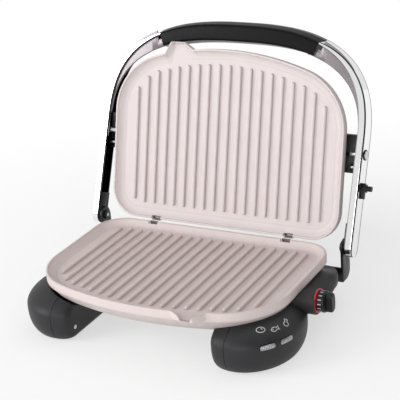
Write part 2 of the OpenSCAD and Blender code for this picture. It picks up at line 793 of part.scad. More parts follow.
module lid_bracket_holes(r)
    for (s = [-1, 1]) translate([0, tilt_y + s * 17, plate_bottom - 6]) x_rod(plate_half_w - 25, far, r);

module lid_pivot_screw() translate([0, tilt_y, tilt_z]) {
    x_rod(lid_bracket_x - 8, loop_half_w - 0.7, lid_pin_r);
    x_rod(loop_half_w - 0.7, loop_half_w + screw_head_t, lid_pin_r + 1.2);
}

module lid_bracket_screw(s) translate([0, tilt_y + s * 17, plate_bottom - 6]) {
    x_rod(bowl_x(plate_bottom - 6) - 3, lid_bracket_x, 1.9);
}

module tilt_stop_pin()
    translate([0, tilt_y + lid_bracket_l / 2 - 7.5, plate_bottom - 1.6])
    x_rod(lid_bracket_x - 6, lid_bracket_x + 2, 2.4);

module left_lid_bracket() color("#1e1e20") placed() lid_axes() lid_bracket();
module right_lid_bracket() color("#1e1e20") placed() lid_axes() mirror([1, 0, 0]) lid_bracket();
module lid_pivot_screws() color("#a8a9ac") placed() lid_axes() both_sides() lid_pivot_screw();
module lid_bracket_screws() color("#8c8c8e") placed() lid_axes() both_sides()
    for (s = [-1, 1]) lid_bracket_screw(s);
module tilt_stop_pins() color("#c9c7c4") placed() lid_axes() both_sides() tilt_stop_pin();

// Controls

spindle_r = 3;
bush_r = spindle_r + 1.8;
thermostat_w = 20;
thermostat_h = 14;
thermostat_t = 8;
thermostat_x = plate_half_w - 1.8;

module thermostat() color("#d8d2c4") placed() translate([0, knob_y, -knob_drop]) difference() {
    union() {
        translate([thermostat_x, -bush_r, 1 - thermostat_h])
            cube([thermostat_t, thermostat_w, thermostat_h]);
        x_rod(thermostat_x + thermostat_t - 1, knob_seat_x - 6, bush_r);
    }
    x_rod(thermostat_x + 3, knob_seat_x, spindle_r + running);
}

module knob_spindle() color("#b8b9bc") placed() translate([0, knob_y, -knob_drop])
    x_rod(thermostat_x + 3.4, knob_tip_x - 8, spindle_r);

module knob_ring() color("#b81d2a") placed() translate([0, knob_y, -knob_drop]) difference() {
    x_rod(knob_seat_x - ring_t + eps, knob_seat_x + 0.6, ring_r);
    x_rod(knob_seat_x - ring_t - 1, knob_seat_x + 2, spindle_r + 2.5);
}

module temperature_knob() color("#1d1d1f") placed() translate([0, knob_y, -knob_drop]) difference() {
    union() {
        x_rod(knob_seat_x + 0.6 + knob_gap, knob_tip_x - 6, knob_r);
        intersection() {
            x_rod(knob_tip_x - 6.1, knob_tip_x, knob_r - 0.8);
            translate([knob_tip_x - 7, -4.5, -20]) cube([10, 9, 40]);
        }
    }
    x_rod(knob_seat_x - 1, knob_tip_x - 8, spindle_r);
}

module indicator_windows() color("#d9d9da") placed() for (t = window_turns)
    at_window(t) window_box(0, -2.2, 0.1);

module indicator_lamps() color("#e8b98a") placed() for (t = window_turns)
    at_window(t) translate([-6, -6, 0]) y_rod(0, 12, 2);

module lamp_holder() color("#e6e2d8") placed() for (t = window_turns)
    at_window(t) difference() {
        translate([-9, -8, -3.1]) cube([6, 16, 6.2]);
        translate([-6, -6.1, 0]) y_rod(0, 12.2, 2.05);
        translate([-6, -6.1, -2]) cube([4, 12.2, 4]);
    }

terminal_l = 24;
terminal_w = 12;
terminal_h = 10;
module terminal_block() color("#e4e0d4") placed()
    translate([seam_x + 4, pod_back - terminal_w - 13.7, side_z - 15])
    cube([terminal_l, terminal_w, terminal_h]);

gland_x = pod_inner_x + 11;
gland_neck_r = 5;
module inlet_gland() color("#1c1c1d") placed()
    translate([gland_x, 0, bracket_mid]) difference() {
        union() {
            y_rod(pod_back, pod_back + 7, 7);
            y_rod(pod_back - wall - 2, pod_back + 1, gland_neck_r);
        }
        y_rod(pod_back - 10, pod_back + 10, 3.2);
    }

lower_plate();
lower_housing();
lower_reflector();
lower_heating_element();
lower_element_clips();
lower_plate_catches();
left_pod_cover();
left_pod_inner_shell();
right_pod_cover();
right_pod_inner_shell();
pod_screws();
rubber_feet();
left_hinge_bracket();
right_hinge_bracket();
bracket_screws();
left_hinge_pin();
right_hinge_pin();
thermostat();
terminal_block();
inlet_gland();
knob_ring();
indicator_windows();
indicator_lamps();
lamp_holder();
left_arm();
right_arm();
grip_front();
grip_back();
grip_screws();
left_hinge_block();
right_hinge_block();
height_slider();
slider_retainer();
temperature_knob();
knob_spindle();
upper_plate();
lid_frame();
lid_cover();
upper_reflector();
upper_heating_element();
upper_element_clips();
upper_plate_catches();
left_lid_bracket();
right_lid_bracket();
lid_pivot_screws();
lid_bracket_screws();
tilt_stop_pins();
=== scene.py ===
"""Looks of an electric contact grill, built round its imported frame.

Shapes are worked out in millimetres in the grill's working axes: x to the right, y to the back and
z up, with zero at the middle rib and at the lower rib tops. base(), lid() and handle() carry them to
the frame's place at rest.
"""
import json
import math

import bpy
import numpy as np
from mathutils import Matrix, Vector


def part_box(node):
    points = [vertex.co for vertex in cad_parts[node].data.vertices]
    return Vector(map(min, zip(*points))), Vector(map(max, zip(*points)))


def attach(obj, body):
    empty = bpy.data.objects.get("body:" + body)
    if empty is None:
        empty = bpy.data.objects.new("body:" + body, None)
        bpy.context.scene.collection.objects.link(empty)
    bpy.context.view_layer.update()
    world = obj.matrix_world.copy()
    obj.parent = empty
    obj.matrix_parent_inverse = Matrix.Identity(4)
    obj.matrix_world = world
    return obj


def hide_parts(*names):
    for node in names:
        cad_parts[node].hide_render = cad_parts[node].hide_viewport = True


bl_info = {
    "name": "Contact Grill",
    "version": (1, 0, 0),
    "blender": (4, 5, 0),
    "location": "View3D > Sidebar > Grill",
    "description": "Builds the plates, pods, handle and controls of an open contact grill",
    "category": "Add Mesh",
}

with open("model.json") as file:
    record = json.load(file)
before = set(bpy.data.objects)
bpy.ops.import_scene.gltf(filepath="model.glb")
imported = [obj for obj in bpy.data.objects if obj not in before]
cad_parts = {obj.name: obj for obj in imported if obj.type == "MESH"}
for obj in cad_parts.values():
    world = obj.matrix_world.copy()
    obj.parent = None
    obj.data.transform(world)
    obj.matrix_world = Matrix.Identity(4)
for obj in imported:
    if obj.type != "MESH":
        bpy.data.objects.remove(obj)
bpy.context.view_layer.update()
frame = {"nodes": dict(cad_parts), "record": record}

# Sizes that the frame and these shapes share, in millimetres
HALF_W = 165.0
BACK_Y = 120.0
FRONT_Y = 113.0
BOW_R = 370.0
BOW_X = 8.0
FRONT_R = 80.0
BACK_R = 38.0
CREST = 4.0
RIB_H = 4.0
RIB_PITCH = 15.0
SPOUT_X = 74.0
LIP_Y = 119.0
HINGE_Y = 122.4
HINGE_Z = 2.6
CLOSED_GAP = 8.6
OPEN_TURN = math.radians(104.36)
LEAN = math.radians(23.0)
LOOP_W = 190.0
LOOP_RISE = 148.0
LOOP_FOOT = 128.0
LOOP_POWER = 2.7
BAND_W = 179.0
BAND_RISE = 119.0
GRIP_HALF = 118.0
POD_LOW = -67.0
FOOT = (122.0, -37.0)
FOOT_HALF = (61.5, 75.0)
FOOT_MID = -34.4
FOOT_RISE = 26.0
FOOT_BELLY = 48.5
LEG = (132.0, 94.0)
HEEL_Y = 112.0
SCREW_HOLES = ((-91.0, -52.0), (94.0, -38.0))
INNER_X = 96.0
SEAM_X = 118.0
KNOB_Y = 6.0
KNOB_Z = -15.5
KNOB_SEAT = 188.5
WINDOW_TURNS = (-46.0, -24.0)
WINDOW_RISE = 3.5
PICTURE_PLACES = ((-51.0, 40.0), (-32.0, 34.5), (-14.4, 34.7))

_low, _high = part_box("lower_plate")
MID = np.array([-1000 * (_low.x + _high.x) / 2, BACK_Y - 1000 * _high.y, CREST - 1000 * _high.z])


# Places

def base(points):
    """Working millimetres to frame metres."""
    return (np.asarray(points, float) - MID) / 1000


def lid(points):
    """A piece drawn in the plate's own axes, turned over and swung open about the hinge."""
    p = np.asarray(points, float)
    x, y, z = -p[:, 0], p[:, 1] - HINGE_Y, -p[:, 2] + CLOSED_GAP - HINGE_Z
    c, s = math.cos(-OPEN_TURN), math.sin(-OPEN_TURN)
    return base(np.stack([x, HINGE_Y + y * c - z * s, HINGE_Z + y * s + z * c], 1))


def handle(points):
    """A piece drawn in the handle's plane: x sideways, y along the arms, z towards the front."""
    p = np.asarray(points, float)
    s, c = math.sin(LEAN), math.cos(LEAN)
    return base(np.stack([p[:, 0], HINGE_Y + p[:, 1] * s - p[:, 2] * c,
                          HINGE_Z + p[:, 1] * c + p[:, 2] * s], 1))


# Mesh helpers

class Shell:
    """Vertices and faces gathered from several surfaces, in millimetres."""

    def __init__(self):
        self.points, self.faces, self.tones, self.count = [], [], [], 0

    def add(self, points, faces, tone=0.0):
        self.points.append(np.asarray(points, float))
        self.tones.append(np.broadcast_to(np.asarray(tone, float), len(points)))
        self.faces += [tuple(int(i) + self.count for i in f) for f in faces]
        self.count += len(points)

    def grid(self, rows, wrap=True, caps=(True, True), loop=False, tone=0.0):
        """Skin over rows of points, rows[i, j]: wrap joins each row's ends, loop joins the last row to the
        first, caps close the first and last row."""
        n, m = rows.shape[:2]
        i, j = np.meshgrid(np.arange(n if loop else n - 1), np.arange(m if wrap else m - 1), indexing="ij")
        k, below = (j + 1) % m, (i + 1) % n
        quads = np.stack([i * m + j, i * m + k, below * m + k, below * m + j], -1).reshape(-1, 4)
        faces = [tuple(q) for q in quads]
        if caps[0] and not loop:
            faces.append(tuple(range(m - 1, -1, -1)))
        if caps[1] and not loop:
            faces.append(tuple((n - 1) * m + np.arange(m)))
        self.add(rows.reshape(-1, 3), faces, tone)

    def mirrored(self):
        """The same shell on the other side of x = 0, with its faces turned to point outwards."""
        other = Shell()
        other.points = [p * [-1, 1, 1] for p in self.points]
        other.faces = [f[::-1] for f in self.faces]
        other.tones, other.count = list(self.tones), self.count
        return other


def volume(points, faces):
    """Signed volume: the sum of corner . (corner x corner) / 6 over the fans of all faces."""
    a, b, c = [], [], []
    for f in faces:
        for k in range(1, len(f) - 1):
            a.append(f[0])
            b.append(f[k])
            c.append(f[k + 1])
    return float(np.sum(points[a] * np.cross(points[b], points[c]))) / 6


def mesh_object(name, shell, place, sharp=40.0):
    """A mesh with its place in its vertices, smooth except at edges sharper than the given angle."""
    points = np.concatenate(shell.points)
    faces = shell.faces
    placed = place(points)
    if volume(placed, faces) < 0:
        faces = [f[::-1] for f in faces]
    mesh = bpy.data.meshes.new(name)
    mesh.from_pydata(placed.tolist(), [], faces)
    tones = np.concatenate(shell.tones)
    # Painted shade: the shell's tones, kept as a point attribute that the finishes darken by.
    if tones.any():
        mesh.attributes.new("crease", "FLOAT", "POINT").data.foreach_set("value", tones)
    mesh.validate()
    shade(mesh, sharp)
    obj = bpy.data.objects.new(name, mesh)
    bpy.context.scene.collection.objects.link(obj)
    return obj


def shade(mesh, sharp):
    """Smooth faces, with the edges that are sharper than the given angle kept crisp."""
    mesh.polygons.foreach_set("use_smooth", np.ones(len(mesh.polygons), bool))
    mesh.set_sharp_from_angle(angle=math.radians(sharp))
    mesh.update()


def settle(obj, sharp=None):
    """Applies the modifiers, so that the mesh is final."""
    graph = bpy.context.evaluated_depsgraph_get()
    graph.update()
    mesh = bpy.data.meshes.new_from_object(obj.evaluated_get(graph))
    old = obj.data
    obj.modifiers.clear()
    obj.data = mesh
    bpy.data.meshes.remove(old)
    if sharp is not None:
        shade(obj.data, sharp)
    return obj


def combine(obj, tool, operation):
    """Boolean of obj with a closed tool, which is then removed."""
    mod = obj.modifiers.new("cut", "BOOLEAN")
    mod.operation, mod.solver, mod.object = operation, "EXACT", tool
    settle(obj)
    data = tool.data
    bpy.data.objects.remove(tool)
    bpy.data.meshes.remove(data)
    return obj


def finish_piece(obj, material, body, slot, *nodes):
    """Dresses a piece, rides it on its body and lets it stand for CAD nodes."""
    obj.data.materials.clear()
    obj.data.materials.append(material)
    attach(obj, body)
    if nodes:
        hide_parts(*nodes)
    return obj


def softened(name, node, width, sharp=35.0, segments=2):
    """A copy of a CAD node with its flat faces joined up and its edges rounded by width millimetres."""
    mesh = frame["nodes"][node].data.copy()
    mesh.name = name
    mesh.materials.clear()
    obj = bpy.data.objects.new(name, mesh)
    bpy.context.scene.collection.objects.link(obj)
    weld = obj.modifiers.new("weld", "WELD")
    weld.merge_threshold = 0.00001
    flat = obj.modifiers.new("flat", "DECIMATE")
    flat.decimate_type = "DISSOLVE"
    flat.angle_limit = math.radians(1.0)
    if width:
        bevel = obj.modifiers.new("edges", "BEVEL")
        bevel.width = width / 1000
        bevel.segments = segments
        bevel.limit_method = "ANGLE"
        bevel.angle_limit = math.radians(sharp)
        bevel.use_clamp_overlap = True
    return settle(obj, sharp)


# Outlines and profiles

def corner(side):
    """Centre height and end turn of a front corner arc, tangent to the side and to the bow."""
    dx = side * (HALF_W - FRONT_R) - BOW_X
    dy = math.sqrt((BOW_R - FRONT_R) ** 2 - dx ** 2)
    return BOW_R - FRONT_Y - dy, math.atan2(-dy, dx)


def outline_columns():
    """Arc centre, radius and turn of every column round a plate, counter-clockwise."""
    bow_y = BOW_R - FRONT_Y
    left_y, left_turn = corner(-1)
    right_y, right_turn = corner(1)
    notch = [(x, BACK_Y - BACK_R, BACK_R, math.pi / 2, math.pi / 2, 0)
             for x in (103.7, 103.5, 90.5, 90.3, -90.3, -90.5, -103.5, -103.7)]
    arcs = [(HALF_W - BACK_R, BACK_Y - BACK_R, BACK_R, 0, math.pi / 2, 18), *notch,
            (BACK_R - HALF_W, BACK_Y - BACK_R, BACK_R, math.pi / 2, math.pi, 18),
            (FRONT_R - HALF_W, left_y, FRONT_R, math.pi, 2 * math.pi + left_turn, 26),
            (BOW_X, bow_y, BOW_R, 2 * math.pi + left_turn, 2 * math.pi + right_turn, 190),
            (HALF_W - FRONT_R, right_y, FRONT_R, right_turn, 0, 26)]
    centre, radius, turn = [], [], []
    for x, y, r, a, b, n in arcs:
        t = np.linspace(a, b, n + 1)[(0 if r != BOW_R else 1):(None if r != BOW_R else -1)]
        centre.append(np.tile([x, y], (len(t), 1)))
        radius.append(np.full(len(t), r))
        turn.append(t)
    return np.concatenate(centre), np.concatenate(radius), np.concatenate(turn)


CENTRE, RADIUS, TURN = outline_columns()
OUTWARD = np.stack([np.cos(TURN), np.sin(TURN)], 1)
DEEPEST = BACK_R - 2.0


def ring(inset, z):
    """The outline drawn in by inset (a number or one per column) at height z. Past the back corners'
    radius it shrinks towards the middle instead."""
    inset = np.broadcast_to(np.asarray(inset, float), RADIUS.shape)
    near = np.minimum(inset, DEEPEST)
    xy = CENTRE + (RADIUS - near)[:, None] * OUTWARD
    share = np.clip((inset - near) / (HALF_W - DEEPEST), 0, 0.99)[:, None]
    xy = xy + (np.array([0.0, 4.0]) - xy) * share
    return np.column_stack([xy, np.broadcast_to(z, RADIUS.shape)])


def front_edge(x, inset):
    """Where the outline, drawn in by inset, runs at the front for this x: on the bow or a corner's arc."""
    side = np.sign(x) * (abs(x) > HALF_W - FRONT_R)
    if side == 0:
        return BOW_R - FRONT_Y - math.sqrt((BOW_R - inset) ** 2 - (x - BOW_X) ** 2)
    y, _ = corner(side)
    return y - math.sqrt((FRONT_R - inset) ** 2 - (x - side * (HALF_W - FRONT_R)) ** 2)


def lathe(profile, centre, axis="z", columns=72):
    """A profile of (radius, height) turned about an axis through centre."""
    t = np.linspace(0, 2 * math.pi, columns, endpoint=False)
    r, h = np.array(profile, float).T
    a = r[:, None] * np.cos(t)
    b = r[:, None] * np.sin(t)
    h = np.broadcast_to(h[:, None], a.shape)
    order = {"z": (a, b, h), "x": (h, a, b), "y": (b, h, a)}[axis]
    return np.stack(order, -1) + np.asarray(centre, float)


# Shader helpers

class Wire:
    """A node's output that builds Math nodes when it is used in an expression."""

    def __init__(self, board, socket):
        self.board, self.socket = board, socket

    def maths(self, operation, *values):
        return self.board.add("ShaderNodeMath", {"operation": operation}, dict(enumerate(values)))

    def __add__(self, other):
        return self.maths("ADD", self, other)

    def __sub__(self, other):
        return self.maths("SUBTRACT", self, other)

    def __rsub__(self, other):
        return self.maths("SUBTRACT", other, self)

    def __mul__(self, other):
        return self.maths("MULTIPLY", self, other)

    __radd__ = __add__
    __rmul__ = __mul__


class Board:
    """A node tree: a new material's with its Principled shader, or the tree that is given."""

    def __init__(self, name, tree=None):
        if tree is None:
            self.material = bpy.data.materials.new(name)
            self.material.use_nodes = True
            tree = self.material.node_tree
            self.shader = tree.nodes["Principled BSDF"]
        self.tree = tree

    def add(self, kind, settings=None, values=None, output=0):
        """Any node: its settings first, then the values or wires of its sockets."""
        node = self.tree.nodes.new(kind)
        for key, value in (settings or {}).items():
            if key == "stops":
                ramp = node.color_ramp
                while len(ramp.elements) < len(value):
                    ramp.elements.new(0.5)
                for element, (place, tone) in zip(ramp.elements, value):
                    element.position = place
                    element.color = (tone, tone, tone, 1) if isinstance(tone, float) else (*tone, 1)
            else:
                setattr(node, key, value)
        for key, value in (values or {}).items():
            self.feed(node.inputs[key], value)
        return Wire(self, node.outputs[output])

    def feed(self, socket, value):
        if isinstance(value, Wire):
            self.tree.links.new(value.socket, socket)
        else:
            if socket.type == "RGBA" and len(value) == 3:
                value = (*value, 1)
            socket.default_value = value

    def set(self, **values):
        for key, value in values.items():
            self.feed(self.shader.inputs[key.replace("_", " ")], value)

    def spots(self, scale, detail=3.0, rough=0.6, stretch=None):
        """Noise on Object coordinates, scale in bumps per metre."""
        place = self.add("ShaderNodeTexCoord", output=3)
        if stretch:
            place = self.add("ShaderNodeMapping", None, {0: place, 3: stretch})
        return self.add("ShaderNodeTexNoise", None,
                        {"Vector": place, "Scale": scale, "Detail": detail, "Roughness": rough})

    def tint(self, factor, first, second):
        return self.add("ShaderNodeMix", {"data_type": "RGBA"}, {0: factor, 6: first, 7: second}, output=2)

    def bump(self, height, strength, distance):
        return self.add("ShaderNodeBump", None,
                        {"Strength": strength, "Distance": distance, "Height": height})

    def remap(self, value, low, high, out_low, out_high):
        return self.add("ShaderNodeMapRange", None, {0: value, 1: low, 2: high, 3: out_low, 4: out_high})

    def crease(self):
        """The painted shade that a piece's mesh carries: dark lines and hollows painted where shade falls,
        and dark reflections painted on chrome.
        """
        return self.add("ShaderNodeAttribute", {"attribute_name": "crease"}, output=2)


def scaled(colour, k):
    """A colour made lighter or darker by a factor, up to white."""
    return tuple(min(1.0, c * k) for c in colour)


# Colour factors of the painted shade on the ceramic coats: a warm, darker brown.
PAINTED_SHADE_SHARE = (0.7, 0.63, 0.6)


def ceramic(name, colour):
    """Matt non-stick coat: fine speckle, faint mottling and a slight orange peel."""
    b = Board(name)
    speckle = b.spots(2600, 2, 0.7)
    mottle = b.spots(38, 4, 0.55)
    mix = b.remap(speckle, 0.36, 0.66, 0, 1) * 0.55 + b.remap(mottle, 0.3, 0.7, 0, 1) * 0.45
    coat = b.tint(mix, scaled(colour, 0.955), scaled(colour, 1.035))
    # Painted shade: where the mesh carries it the coat turns to this darker brown, at the ribs' feet and
    # along the rim's edges.
    dark = tuple(c * k for c, k in zip(colour, PAINTED_SHADE_SHARE))
    b.set(Base_Color=b.tint(b.crease(), coat, dark),
          Roughness=b.remap(mottle, 0.3, 0.7, 0.5, 0.6),
          Normal=b.bump(b.spots(900, 3, 0.6), 0.12, 0.0004),
          Specular_IOR_Level=0.35)
    return b.material


def plastic(name, colour, rough=0.42, grain=1500, depth=0.25, worn=0.12, gloss=0.5):
    """Moulded plastic: fine spark-eroded grain, with handling marks that change its gloss."""
    b = Board(name)
    marks = b.spots(55, 5, 0.6)
    b.set(Base_Color=b.tint(b.remap(marks, 0.35, 0.75, 0, 1), scaled(colour, 0.94), scaled(colour, 1.1)),
          Roughness=b.remap(marks, 0.3, 0.7, rough - worn / 2, rough + worn / 2),
          Normal=b.bump(b.spots(grain, 2, 0.7), depth, 0.0002),
          Specular_IOR_Level=gloss)
    return b.material


def metal(name, colour, rough, spread=0.04, stretch=None, depth=0.02):
    """Polished or satin metal: smudges change its roughness, and a stretch gives it a brushed grain."""
    b = Board(name)
    smudge = b.spots(45, 4, 0.6)
    grain = b.spots(900, 3, 0.6, stretch)
    polish = b.tint(b.remap(smudge, 0.3, 0.7, 0, 1), scaled(colour, 0.97), colour)
    # Where the mesh carries painted shade the colour falls to near black: painted shade in hollows and
    # valleys, and painted dark reflections on the chrome.
    b.set(Base_Color=b.tint(b.crease(), polish, scaled(colour, 0.03)),
          Metallic=1.0,
          Roughness=b.remap(smudge, 0.3, 0.75, rough, rough + spread),
          Normal=b.bump(grain, depth, 0.0001))
    return b.material


# Plates

OUTER_WALL = [(1.6, -8.0), (0.5, -7.7), (0.0, -6.9), (0.0, -4.5), (0.0, -4.3), (0.0, 2.9), (0.12, 3.45),
              (0.45, 3.87), (0.9, 4.0), (2.1, 4.0), (2.5, 3.88), (2.8, 3.6)]
# Painted shade along the rim, by inset: thin dark lines at the edges of the crest.
CREST_PAINTED_SHADE = {0.12: 0.35, 2.5: 0.55, 2.8: 0.75}
SLOPE = [(0.27, 2.6), (0.36, 1.0), (0.52, -1.0), (0.7, -2.5), (0.84, -3.25), (0.94, -3.6)]
WALL_FOOT = -4.4
NOTCH_X = 97.0
NOTCH_HALF = 6.6
NOTCH_Z = -3.3


def spout_lines():
    """For each column: how far the wall stands out, where the channel's floor starts, and the wall's top.
    The lip is straight and square to the front."""
    x, y, _ = ring(0, 0).T
    away = np.abs(x - SPOUT_X + 1.5)
    front = OUTWARD[:, 1] < -0.85
    out = np.where(front, (LIP_Y + y) / OUTWARD[:, 1] * np.clip((21 - away) / 12, 0, 1), 0.0)
    foot = np.where(front & (away < 16), 12 - 2.4 * (16 - np.maximum(away, 6)), 12.0)
    top = np.where(front, -1.5 + 5.5 * np.clip((away - 6) / 2.6, 0, 1), CREST)
    return out, foot, top


def channel_floor(inset):
    """Height of the plate's floor at an inset; out through the spout it climbs to the lip."""
    return -RIB_H + 2.5 * (1 - np.clip((inset + 12) / 22, 0, 1))


def rim_surface(shell):
    """The rim as rings round the outline: outer wall, narrow flat crest, hollow inner slope and a fillet
    into the floor. At the spout the rings move out along its walls and dip to its lip."""
    out, foot, top = spout_lines()
    floor = channel_floor(foot)
    wall = np.clip(foot - out, 0.3, 12)
    rows, tones = [], []
    notch = (OUTWARD[:, 1] > 0.999) & (np.abs(np.abs(CENTRE[:, 0]) - NOTCH_X) < NOTCH_HALF)
    for inset, z in OUTER_WALL:
        if z < WALL_FOOT:
            row = ring(inset, z)
        else:
            row = ring(out + inset, np.maximum(np.minimum(z, top), floor))
        row[notch, 2] = min(z, NOTCH_Z)
        rows.append(row)
        tones.append(CREST_PAINTED_SHADE.get(inset, 0.0))
    for share, z in SLOPE:
        row = ring(out + wall * share, np.maximum(np.minimum(z, top), floor))
        if share < 0.3:
            row[notch, 2] = NOTCH_Z
        rows.append(row)
        tones.append(0.0)
    # Painted shade in the fillet where the slope meets the floor.
    rows.append(ring(np.maximum(out + wall, foot) + 0.6, floor + 0.12))
    tones.append(0.25)
    for share in (0.25, 0.6, 1.0):
        inset = (foot + 2.0) * (1 - share) + 16.0 * share
        rows.append(ring(inset, channel_floor(inset)))
        tones.append(0.0)
    shell.grid(np.array(rows), tone=np.repeat(tones, len(RADIUS)))


RIB_PROFILE = [(0.35, 4.0), (0.9, 3.95), (1.4, 3.76), (1.8, 3.4), (2.05, 2.9), (2.18, 2.2), (2.24, 1.2),
               (2.32, 0.55), (2.5, 0.2), (2.85, 0.03), (3.2, -0.02), (3.2, -1.2)]
# Painted shade down each rib's profile, darkest at its foot, where shade falls beside the bead.
RIB_PAINTED_SHADE = [0, 0, 0, 0, 0.15, 0.45, 0.85, 1.0, 1.0, 0.6, 0.0, 0.0]


def rib_surface(shell, x, lit):
    """A bead round a straight centre line: every profile step is a ring at that distance from the line.
    The painted shade at its foot fades on the lit side."""
    y1 = front_edge(x, 20.0) + 2.3
    y2 = BACK_Y - 20.0 - 2.3 - (3 if abs(x) > HALF_W - BACK_R else 0)
    turn = np.linspace(0, math.pi, 13)
    half = np.stack([np.cos(turn), np.sin(turn)], 1)
    unit = np.concatenate([half, -half])
    spine = np.concatenate([np.full(13, y2), np.full(13, y1)])
    d, z = (column[:, None] for column in np.array(RIB_PROFILE).T)
    rows = np.broadcast_arrays(x + unit[:, 0] * d, spine + unit[:, 1] * d, z - RIB_H)
    # Painted shade: whole on the bead's -x side and scaled down to lit on its +x side.
    side = 1 - (1 - lit) * (unit[:, 0] + 1) / 2
    shell.grid(np.stack(rows, -1), tone=(np.array(RIB_PAINTED_SHADE)[:, None] * side).ravel())


def plate_shell(lit):
    """The rim and its nineteen ribs, with painted shade at their feet and edges, faded by lit on one side."""
    shell = Shell()
    rim_surface(shell)
    for i in range(-9, 10):
        rib_surface(shell, RIB_PITCH * i, lit)
    return shell


def tray_shell(profile):
    """A closed bowl: rings of (inset, z) round the outline."""
    shell = Shell()
    shell.grid(np.array([ring(i, z) for i, z in profile]))
    return shell


BOWL = [(4.0, -8.3), (4.0, -8.6), (4.6, -11), (6.2, -14.6), (9.0, -18.6), (12.6, -22.2), (16.5, -24.8),
        (20.5, -26.0), (30, -26.4), (60, -26.4)]
LID_FRAME = [(4.0, -8.3), (4.0, -9.0), (5.2, -12), (7.6, -16.5), (10.2, -20.5), (12.4, -23.6), (13.4, -23.9),
             (30, -23.9)]
LID_COVER = [(12.0, -24.2), (12.2, -24.2), (12.6, -26.0), (14.0, -28.4), (17, -30.8), (22, -33.2),
             (29, -35.6), (35, -37.0), (42, -37.8), (60, -38.0), (90, -38.0)]


# Pods

def foot_rows():
    """Rings of the front foot: ellipses that swell from the flat base to the waist, then close as a dome."""
    low = np.linspace(POD_LOW + 1.0, FOOT_MID, 18)
    share = (1 - ((FOOT_MID - low) / FOOT_BELLY) ** 2.8) ** (1 / 2.8)
    rise = np.radians(np.linspace(3, 88, 30))
    z = np.concatenate([[POD_LOW, POD_LOW + 0.3], low, FOOT_MID + FOOT_RISE * np.sin(rise)])
    share = np.concatenate([[share[0] - 0.03, share[0] - 0.012], share, np.cos(rise)])[:, None]
    t = np.linspace(0, 2 * math.pi, 128, endpoint=False)
    x = FOOT[0] + FOOT_HALF[0] * share * np.cos(t)
    return np.stack([x, FOOT[1] + FOOT_HALF[1] * share * np.sin(t), np.broadcast_to(z[:, None], x.shape)], -1)


HEEL = ((POD_LOW, 14.9), (POD_LOW + 0.8, 15.7), (-46.5, 16.5), (-44.8, 15.8), (-44.1, 14.4))


def heel_rows():
    """Rings of the low heel behind the rear leg: two half circles joined by straights."""
    t = np.linspace(0, 2 * math.pi, 72, endpoint=False)
    y = np.where(np.sin(t) < -1e-9, LEG[1], HEEL_Y)
    z, r = (column[:, None] for column in np.array(HEEL).T)
    return np.stack(np.broadcast_arrays(LEG[0] + r * np.cos(t), y + r * np.sin(t), z), -1)


def roll_inside(rows, step):
    """Presses rings of points against the pod's inner face, set in by step: x becomes a smooth maximum of
    itself and the face, and the face rolls in over the last seven millimetres above the base."""
    x, z = rows[..., 0], rows[..., 2]
    near = np.clip(7 - (z - POD_LOW), 0, 7)
    face = INNER_X + step + 7 - np.sqrt(49 - near ** 2)
    h = np.clip(0.5 + (x - face) / 24, 0, 1)
    return np.stack([face * (1 - h) + x * h + 12 * h * (1 - h), rows[..., 1], z], -1)


SIDE_MID = -23.0


def side_rows():
    """Cross-sections along y of the side housing: superellipses whose width and height follow the pod."""
    y = np.concatenate([-14 + 26 * (1 - np.cos(np.linspace(0.12, math.pi / 2, 16))),
                        np.linspace(14, 70, 15), np.linspace(73, 111.6, 14)])[:, None]
    front = np.clip((y + 14) / 26, 0, 1)
    bulge = np.sqrt(1 - (1 - front) ** 2)
    back = np.clip((y - 48) / 64, 0, 1)
    spread = np.clip((y - 12) / 36, 0, 1)
    width = np.where(y < 12, 52 * bulge, 52 + 3 * spread)
    width = np.where(y > 48, 32 + 23 * np.sqrt(1 - back ** 2), width)
    blend = np.clip((y - 60) / 50, 0, 1)
    blend = blend * blend * (3 - 2 * blend)
    top = np.where(y < 12, 14.4 * bulge, 14.4) * (1 - blend) + 2.0 * blend
    low = np.where(y < 12, 19 * bulge, 19) * (1 - blend) + 20.0 * blend
    power = 2 / (2.0 + 3.0 * blend)
    t = np.linspace(0, 2 * math.pi, 72, endpoint=False)
    c, s = np.cos(t), np.sin(t)
    x = 137 - 4 * spread - 5 * back + width * np.sign(c) * np.abs(c) ** power
    z = SIDE_MID + np.where(s > 0, top, low) * np.sign(s) * np.abs(s) ** power
    return np.stack(np.broadcast_arrays(x, y, z), -1)


def solid(rows, place=base):
    """A closed skin over rows of points, as an object."""
    shell = Shell()
    shell.grid(rows)
    return mesh_object("tool", shell, place)


LEG_PROFILE = [(0.01, -62), (16, -62), (17.6, -30), (0.01, -30)]
SCREW_WELL = [(0.01, INNER_X - 3), (3.6, INNER_X - 3), (3.6, INNER_X + 2.4), (0.01, INNER_X + 2.4)]
KNOB_HUB = [(0.01, 150), (17.4, 150), *((r, KNOB_SEAT - back) for r, back in (
            (17.4, 2.2), (16.9, 0.7), (15.8, 0.2), (15.0, 0.2), (14.75, 0.7), (14.75, 3.6), (0.01, 3.6)))]


def pod_object(name, x1, x2, knob):
    """Front foot, side housing, rear leg and heel joined, cut by the bowl and by the pod's side planes."""
    inner = x1 < SEAM_X
    pod = solid(roll_inside(foot_rows(), 0.0) if inner else foot_rows())
    pod.name = pod.data.name = name
    joined = [roll_inside(side_rows(), 0.2) if inner else side_rows(),
              lathe(LEG_PROFILE, (*LEG, 0), columns=48), heel_rows()]
    if knob:
        joined.append(lathe(KNOB_HUB, (0, KNOB_Y, KNOB_Z), "x", 96))
    for rows in joined:
        combine(pod, solid(rows), "UNION")
    bowl = [ring(2.5, 20.0)] + [ring(i - 0.4, z - 0.4) for i, z in BOWL[1:]]
    combine(pod, solid(np.array(bowl)), "DIFFERENCE")
    box = [[[x1, -200, z], [x2, -200, z], [x2, 200, z], [x1, 200, z]] for z in (-100, -8.35)]
    combine(pod, solid(np.array(box, float)), "INTERSECT")
    if inner:
        for y, z in SCREW_HOLES:
            combine(pod, solid(lathe(SCREW_WELL, (0, y, z), "x", 40)), "DIFFERENCE")
    return pod


